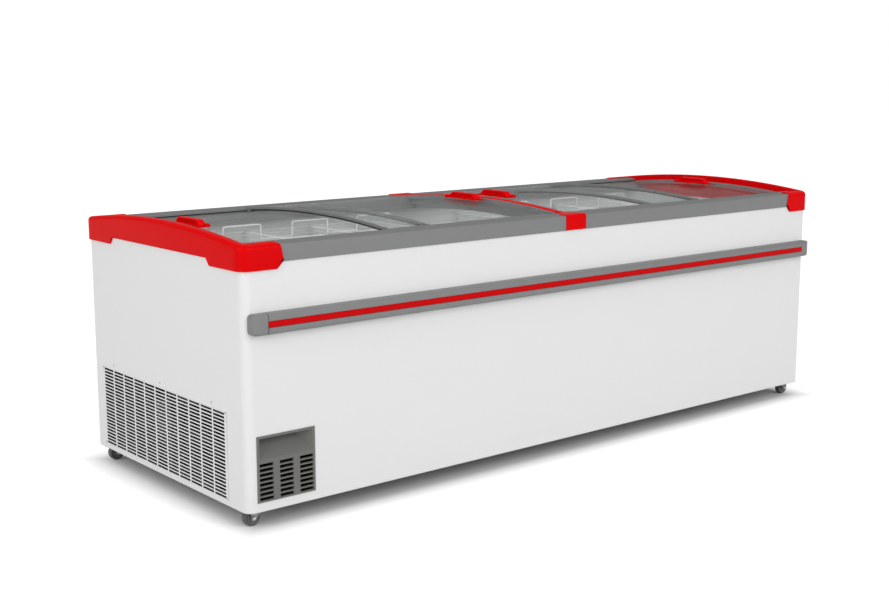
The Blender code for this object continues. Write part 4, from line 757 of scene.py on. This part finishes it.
rail_from = bumper_start + bumper_end + end_gap
bumper = piece("bumper_extrusion", [drawn_out(bumper_section(True), rail_from, -rail_from)], grey_plastic, 30)
mount(bumper, "cabinet", "grey_plastic", "bumper_rail")
insert_half = [(groove_deep - fit_gap, strip_half), (insert_sunk + insert_edge, strip_half),
               (insert_sunk, strip_half - insert_edge)]
insert_section = [(face_y + deep, bumper_centre - half) for deep, half in insert_half]
insert_section += [(face_y + deep, bumper_centre + half) for deep, half in insert_half[::-1]]
red_vinyl = coated("red_vinyl", (0.60, 0.002, 0.003), roughness=0.42, peel=600.0, depth=0.00006, mottle=0.03,
                   constants={"Specular IOR Level": 0.05})
insert = piece("bumper_insert", [drawn_out(np.array(insert_section), rail_from, -rail_from)], red_vinyl, 30)
mount(insert, "cabinet", "red_plastic", "bumper_strip")


def bumper_end_part():
    """The left end: the bumper's section, drawn in to its tip by quarter circles in plan and in height."""
    radius, tall = 0.021, 0.012
    turn = np.radians(np.linspace(0, 88, 13))
    x = np.concatenate([[bumper_end, bumper_end - bumper_seam], radius - radius * np.sin(turn)])
    deep = np.concatenate([[bumper_seam, 0], radius - radius * np.cos(turn)])
    past = np.clip((tall - x) / tall, 0, 1)
    squeeze = tall * (1 - np.sqrt(1 - past ** 2))
    squeeze[0] = bumper_seam
    section = bumper_section(False)
    half = (bumper_high - bumper_low) / 2
    reach = bumper_back - face_y
    forward = (bumper_back - section[:, 0]) / reach
    rings = np.empty((len(x), len(section), 3))
    rings[..., 0] = bumper_start + x[:, None]
    rings[..., 1] = bumper_back - forward * (reach - deep[:, None])
    rings[..., 2] = bumper_centre + (section[:, 1] - bumper_centre) * (half - squeeze[:, None]) / half
    return rings


for name, side in (("bumper_end_left", 1), ("bumper_end_right", -1)):
    tip = piece(name + "_moulding", [sweep(bumper_end_part() * (side, 1, 1))], grey_plastic, 40)
    mount(tip, "cabinet", "grey_plastic", name)


# The grille on the left end: white powder-coated sheet, punched with slots for the condenser's air.
# Plated pan-head screws hold it at its corners; three more above it hold the condenser inside.
dress(white_paint, "side_grille")
zinc = drawn_metal("zinc_plate", (0.62, 0.62, 0.60), roughness=0.28, tarnish=0.8)


def turned(profile, centre, axis, steps):
    """A profile of (radius, height) pairs turned about an axis (0, 1 or 2) through a centre."""
    profile = np.asarray(profile)
    turn = np.linspace(0, 2 * np.pi, steps, endpoint=False)
    rings = np.empty((len(profile), steps, 3))
    rings[..., axis] = profile[:, 1:]
    rings[..., (axis + 1) % 3] = profile[:, :1] * np.cos(turn)
    rings[..., (axis + 2) % 3] = profile[:, :1] * np.sin(turn)
    return sweep(rings + np.asarray(centre))


grille_face = left - 0.0018
screw_head = [(0.0036, 0.0), (0.0036, -0.0004), (0.0031, -0.0011), (0.0019, -0.0016), (0.0014, -0.0017),
              (0.0012, -0.0008), (0.0002, -0.0007)]
corner_y = (front + 0.1055, front + 0.8615)
corner_z = (0.072, 0.318)
condenser_y = (front + 0.182, front + 0.487, front + 0.792)
condenser_z = 0.335
screws = [turned(screw_head, (grille_face, y, z), 0, 16) for y in corner_y for z in corner_z]
screws += [turned(screw_head, (left, y, condenser_z), 0, 16) for y in condenser_y]
mount(piece("grille_screws", screws, zinc, 30), "cabinet", "caster_steel")


# The vent at the left of the front: an olive-grey ABS moulding pressed into the casing.
# It has a slanted recess over three columns of slots.
vent_grey = (0.135, 0.135, 0.127)
vent_plastic = coated("vent_moulding", vent_grey, roughness=0.5, peel=600.0, depth=0.0001, mottle=0.03)
dress(vent_plastic, "front_vent")


# The casters: zinc-plated pressed plates and forks, with black rubber wheels on grey hubs.
# The fork turns under its plate and the wheel rolls on a bolted axle.
caster_places = {"front_left": (-1, front, 1), "front_right": (1, front, 1),
                 "rear_left": (-1, rear, -1), "rear_right": (1, rear, -1)}
caster_inset = (0.040, 0.052)
wheel_radius = 0.025
tyre_grey = (0.085, 0.085, 0.087)
hub_grey = (0.13, 0.13, 0.135)
fork_zinc = drawn_metal("fork_zinc", (0.30, 0.30, 0.30), roughness=0.35, tarnish=0.7)
dress(fork_zinc, *[f"caster_{tag}_{part}" for tag in caster_places for part in ("plate", "fork")])
tyre_rubber = coated("tyre_rubber", tyre_grey, roughness=0.5, peel=900.0, depth=0.0002, mottle=0.1)
hub_plastic = coated("hub_plastic", hub_grey, roughness=0.45, peel=600.0, depth=0.0001, mottle=0.04)
tyre_section = np.concatenate([
    [(0.0165, 0.0092)], quarter((0.0205, 0.0065), 0.0045, 90, 0)[:-1], [(0.025, 0.0045), (0.025, -0.0045)],
    quarter((0.0205, -0.0065), 0.0045, 0, -90)[1:], [(0.0165, -0.0092)]])
hub_section = [(0.0043, 0.0118), (0.0085, 0.0118), (0.0088, 0.0085), (0.0150, 0.0078), (0.0166, 0.0095),
               (0.0170, 0.0090), (0.0170, -0.0090), (0.0166, -0.0095), (0.0150, -0.0078), (0.0088, -0.0085),
               (0.0085, -0.0118), (0.0043, -0.0118)]


def turned_ring(profile, centre, axis, steps=48):
    """A closed profile of (radius, height) pairs turned about an axis: a ring with no end faces."""
    profile = np.asarray(profile)
    turn = np.linspace(0, 2 * np.pi, steps, endpoint=False)
    rings = np.empty((steps, len(profile), 3))
    rings[..., axis] = profile[:, 1]
    rings[..., (axis + 1) % 3] = profile[:, 0] * np.cos(turn)[:, None]
    rings[..., (axis + 2) % 3] = profile[:, 0] * np.sin(turn)[:, None]
    rings = np.concatenate([rings, rings[:1]]) + np.asarray(centre)
    points, faces = sweep(rings, False)
    faces = (np.array(faces) % (steps * len(profile))).tolist()
    return points[: steps * len(profile)], faces


nut_profile = [(0.0045, 0.0166), (0.0062, 0.0168), (0.0062, 0.0200), (0.0050, 0.0212), (0.0030, 0.0214)]
for tag, (x_side, face, y_side) in caster_places.items():
    axle = (x_side * (right - caster_inset[0]), face + y_side * caster_inset[1], wheel_radius)
    tyre = piece(f"caster_{tag}_tyre", [turned_ring(tyre_section, axle, 1)], tyre_rubber, 40)
    mount(tyre, f"caster_{tag}_roller", "caster_tyre", f"caster_{tag}_wheel")
    hub = piece(f"caster_{tag}_hub", [turned_ring(hub_section, axle, 1)], hub_plastic, 30)
    mount(hub, f"caster_{tag}_roller", "caster_tyre")
    points, faces = turned(nut_profile, (0, 0, 0), 1, 6)
    nuts = [(points * (1, end, 1) + axle, faces) for end in (-1, 1)]
    nut = piece(f"caster_{tag}_nuts", nuts, zinc, 30)
    mount(nut, f"caster_{tag}_swivel", "caster_steel")


# The baskets: welded steel wire, powder-coated white, three to a bay on the tank's ledges.
# Two bows stand over each rim to lift it by.
wire_white = (0.96, 0.96, 0.96)
white_wire = coated("white_wire_coat", wire_white, roughness=0.38, peel=900.0, depth=0.00008, mottle=0.02)
rim_z = 0.7133
basket_half = (0.125, 0.3725)
basket_deep = 0.214
ledge_reach = 0.0140
rim_wire, mesh_wire = 0.0026, 0.0014
cross_wires, long_wires, side_rings = 60, 29, 19
mesh_margin = (0.0125, 0.014)
ring_margin = (0.020, 0.010)
mesh_bend, ring_bend, bow_bend = 0.012, 0.010, 0.008
bow_place, bow_half, bow_tall = 0.1825, 0.0705, 0.048


def rounded_line(corners, radius, steps=4):
    """Points of a line through some corners, each replaced by a round bend."""
    corners = np.asarray(corners, float)
    back = corners[:-2] - corners[1:-1]
    ahead = corners[2:] - corners[1:-1]
    back /= np.linalg.norm(back, axis=1, keepdims=True)
    ahead /= np.linalg.norm(ahead, axis=1, keepdims=True)
    t = np.linspace(0, 1, steps + 1)[None, :, None]
    start = (corners[1:-1] + radius * back)[:, None]
    end = (corners[1:-1] + radius * ahead)[:, None]
    bends = start * (1 - t) ** 2 + 2 * corners[1:-1][:, None] * t * (1 - t) + end * t ** 2
    return np.concatenate([corners[:1], bends.reshape(-1, 3), corners[-1:]])


def wire(line, across, radius, sides, closed=False):
    """A round wire along a flat line; across is the normal of the line's plane."""
    line = np.asarray(line)
    if closed:
        run = np.roll(line, -1, 0) - np.roll(line, 1, 0)
    else:
        run = np.gradient(line, axis=0)
    run /= np.linalg.norm(run, axis=1, keepdims=True)
    across = np.asarray(across, float)
    beside = np.cross(across, run)
    turn = np.linspace(0, 2 * np.pi, sides, endpoint=False)
    rings = line[:, None] + radius * (np.cos(turn)[None, :, None] * beside[:, None]
                                      + np.sin(turn)[None, :, None] * across)
    if not closed:
        return sweep(rings)
    points, faces = sweep(np.concatenate([rings, rings[:1]]), False)
    return points[: rings.shape[0] * sides], (np.array(faces) % (rings.shape[0] * sides)).tolist()


def basket_parts(x_mid):
    """One basket: mesh wires bent into a trough both ways, rings round its sides, a rim and two bows."""
    hx, hy = basket_half
    low = rim_z - basket_deep
    rim_y = hy + ledge_reach
    bow_top = rim_z + bow_tall
    parts = []
    for y in np.linspace(mesh_margin[1] - hy, hy - mesh_margin[1], cross_wires):
        line = [(-hx, y, rim_z), (-hx, y, low), (hx, y, low), (hx, y, rim_z)]
        parts.append(wire(rounded_line(line, mesh_bend), (0, 1, 0), mesh_wire, 5))
    for x in np.linspace(mesh_margin[0] - hx, hx - mesh_margin[0], long_wires):
        line = [(x, -hy, rim_z), (x, -hy, low), (x, hy, low), (x, hy, rim_z)]
        parts.append(wire(rounded_line(line, mesh_bend), (1, 0, 0), mesh_wire, 5))
    for z in np.linspace(low + ring_margin[0], rim_z - ring_margin[1], side_rings):
        line = [(-hx, 0, z), (-hx, -hy, z), (hx, -hy, z), (hx, hy, z), (-hx, hy, z), (-hx, 0, z)]
        parts.append(wire(rounded_line(line, ring_bend)[:-1], (0, 0, 1), mesh_wire, 5, True))
    line = [(-hx, 0, rim_z), (-hx, -rim_y, rim_z), (hx, -rim_y, rim_z), (hx, rim_y, rim_z),
            (-hx, rim_y, rim_z), (-hx, 0, rim_z)]
    parts.append(wire(rounded_line(line, mesh_bend)[:-1], (0, 0, 1), rim_wire, 8, True))
    for y in (-bow_place, bow_place):
        line = [(-hx, y, rim_z), (-bow_half, y, rim_z), (-bow_half, y, bow_top),
                (bow_half, y, bow_top), (bow_half, y, rim_z), (hx, y, rim_z)]
        parts.append(wire(rounded_line(line, bow_bend), (0, 1, 0), rim_wire, 8))
    return [(points + (x_mid, middle, 0), faces) for points, faces in parts]


basket_places = [left + start for start in (0.395, 0.657, 0.919, 1.581, 1.843, 2.105)]
for number, x_mid in enumerate(basket_places, 1):
    basket = piece(f"basket_{number}_wires", basket_parts(x_mid), white_wire, 60)
    mount(basket, "cabinet", "white_wire", f"basket_{number}")


# The machinery behind the grille: the compressor, the finned condenser and its tube, lacquered black.
# A pressed aluminium fan turns in a plastic shroud; the thermostat and the lead's grommet are black.
enamel = coated("black_enamel", black, roughness=0.45, peel=500.0, depth=0.0002, mottle=0.1)
dress(enamel, "compressor", "condenser", "discharge_tube")
aluminium = drawn_metal("blade_aluminium", (0.56, 0.57, 0.58), roughness=0.35, tarnish=0.8)
dress(aluminium, "fan_blade")
shroud_black = (0.02, 0.02, 0.021)
shroud_plastic = coated("black_moulding", shroud_black, roughness=0.5, peel=700.0, depth=0.0001, mottle=0.08)
dress(shroud_plastic, "fan_shroud", "fan_motor", "thermostat")
dress(seal_rubber, "cord_gland")


# The studio: a white floor that keeps the object's soft shadow and fades into white surroundings; the
# shadow's edge round the footprint is partly painted by the floor's own glow.
# Large soft lamps stand overhead, to the left and in front, and the camera has the photograph's view.
floor_half = 30.0
floor_points = np.array([[-1, -1, 0], [1, -1, 0], [1, 1, 0], [-1, 1, 0]]) * floor_half
floor_finish, floor_shader, floor_place = finish("white_floor", {"Roughness": 0.8, "Specular IOR Level": 0.0})
floor_tree = floor_finish.node_tree
seen = floor_place.ray("Is Camera Ray") + floor_place.ray("Is Glossy Ray")
bounce = floor_place.ray("Is Diffuse Ray")
footprint = (1.25, 0.47, 0)
beside = floor_place.node("VectorMath", {"operation": "ABSOLUTE"}, {0: floor_place})
beside = beside.node("VectorMath", {"operation": "SUBTRACT"}, {0: beside, 1: footprint})
beside_x = beside.node("SeparateXYZ", {}, {0: beside}, 0)
beside_y = beside.node("SeparateXYZ", {}, {0: beside}, 1)
away = beside_x.maths("MAXIMUM", beside_x, beside_y)


def rising(value, start, end, height):
    """A value that rises from 0 to a height while another goes from a start to an end."""
    return value.node("MapRange", {}, {"Value": value, "From Min": start, "From Max": end, "To Max": height})


# Painted shadow edge: the floor's glow is nothing from 4 cm inside the object's footprint and rises to full 7
# cm outside it.
painted_shadow_edge = rising(away, -0.04, 0.07, 0.44)
far_glow = rising(away, 0.5, 4.0, 0.14)
feed(floor_shader, "Base Color", bounce.between((0.86, 0.86, 0.86), (0.50, 0.50, 0.50)))
glow = floor_place.node("Emission", {}, {"Color": (1, 1, 1, 1), "Strength": seen * (painted_shadow_edge + far_glow)})
added = floor_place.node("AddShader", {}, {0: Tone(floor_tree, floor_shader.outputs[0]), 1: glow})
floor_tree.links.new(added.socket, floor_tree.nodes["Material Output"].inputs["Surface"])
floor = piece("studio_floor", [(floor_points, [[0, 1, 2, 3]])], floor_finish)

world = bpy.data.worlds.new("studio")
world.use_nodes = True
bpy.context.scene.world = world
sky = world.node_tree
direction = Tone(sky, sky.nodes.new("ShaderNodeTexCoord").outputs["Generated"])
height = direction.node("SeparateXYZ", {}, {0: direction}, 2)
mirrored = direction.ray("Is Glossy Ray")
clear_ray = direction.ray("Is Camera Ray") + direction.ray("Is Transmission Ray")
clear_ray = clear_ray.maths("MINIMUM", clear_ray, 1.0)
ceiling = height.node("MapRange", {"interpolation_type": "SMOOTHSTEP"},
                      {"Value": height, "From Min": 0.0, "From Max": 0.5, "To Min": 0.32, "To Max": 0.20})
plain = 0.56
level = clear_ray + (1 - clear_ray) * (mirrored * ceiling + (1 - mirrored) * plain)
sky.links.new(level.socket, sky.nodes["Background"].inputs["Strength"])
sky.nodes["Background"].inputs["Color"].default_value = (1, 1, 1, 1)


def lamp(name, place, aim, size, power):
    """A square soft lamp that looks at a point."""
    data = bpy.data.lights.new(name, "AREA")
    data.size = size
    data.energy = power
    obj = bpy.data.objects.new(name, data)
    bpy.context.scene.collection.objects.link(obj)
    obj.location = place
    back = obj.location - Vector(aim)
    obj.rotation_euler = back.to_track_quat("Z", "Y").to_euler()


lamp("overhead", (0.0, 0.0, 5.5), (0, 0, 0.5), 3.5, 30)
lamp("left", (-6.6, -1.6, 2.9), (-0.6, 0, 0.5), 4.8, 168)
lamp("front", (0.6, -7.4, 3.4), (0.2, 0, 0.5), 6.0, 276)

camera_data = bpy.data.cameras.new("photo_view")
camera_data.lens = 53.96
camera_data.sensor_width = 36
camera = bpy.data.objects.new("photo_view", camera_data)
bpy.context.scene.collection.objects.link(camera)
camera.location = (-3.0664, -3.4941, 1.2607)
camera.rotation_euler = (math.radians(80.117), 0, math.radians(-39.628))
bpy.context.scene.camera = camera

bpy.context.view_layer.update()
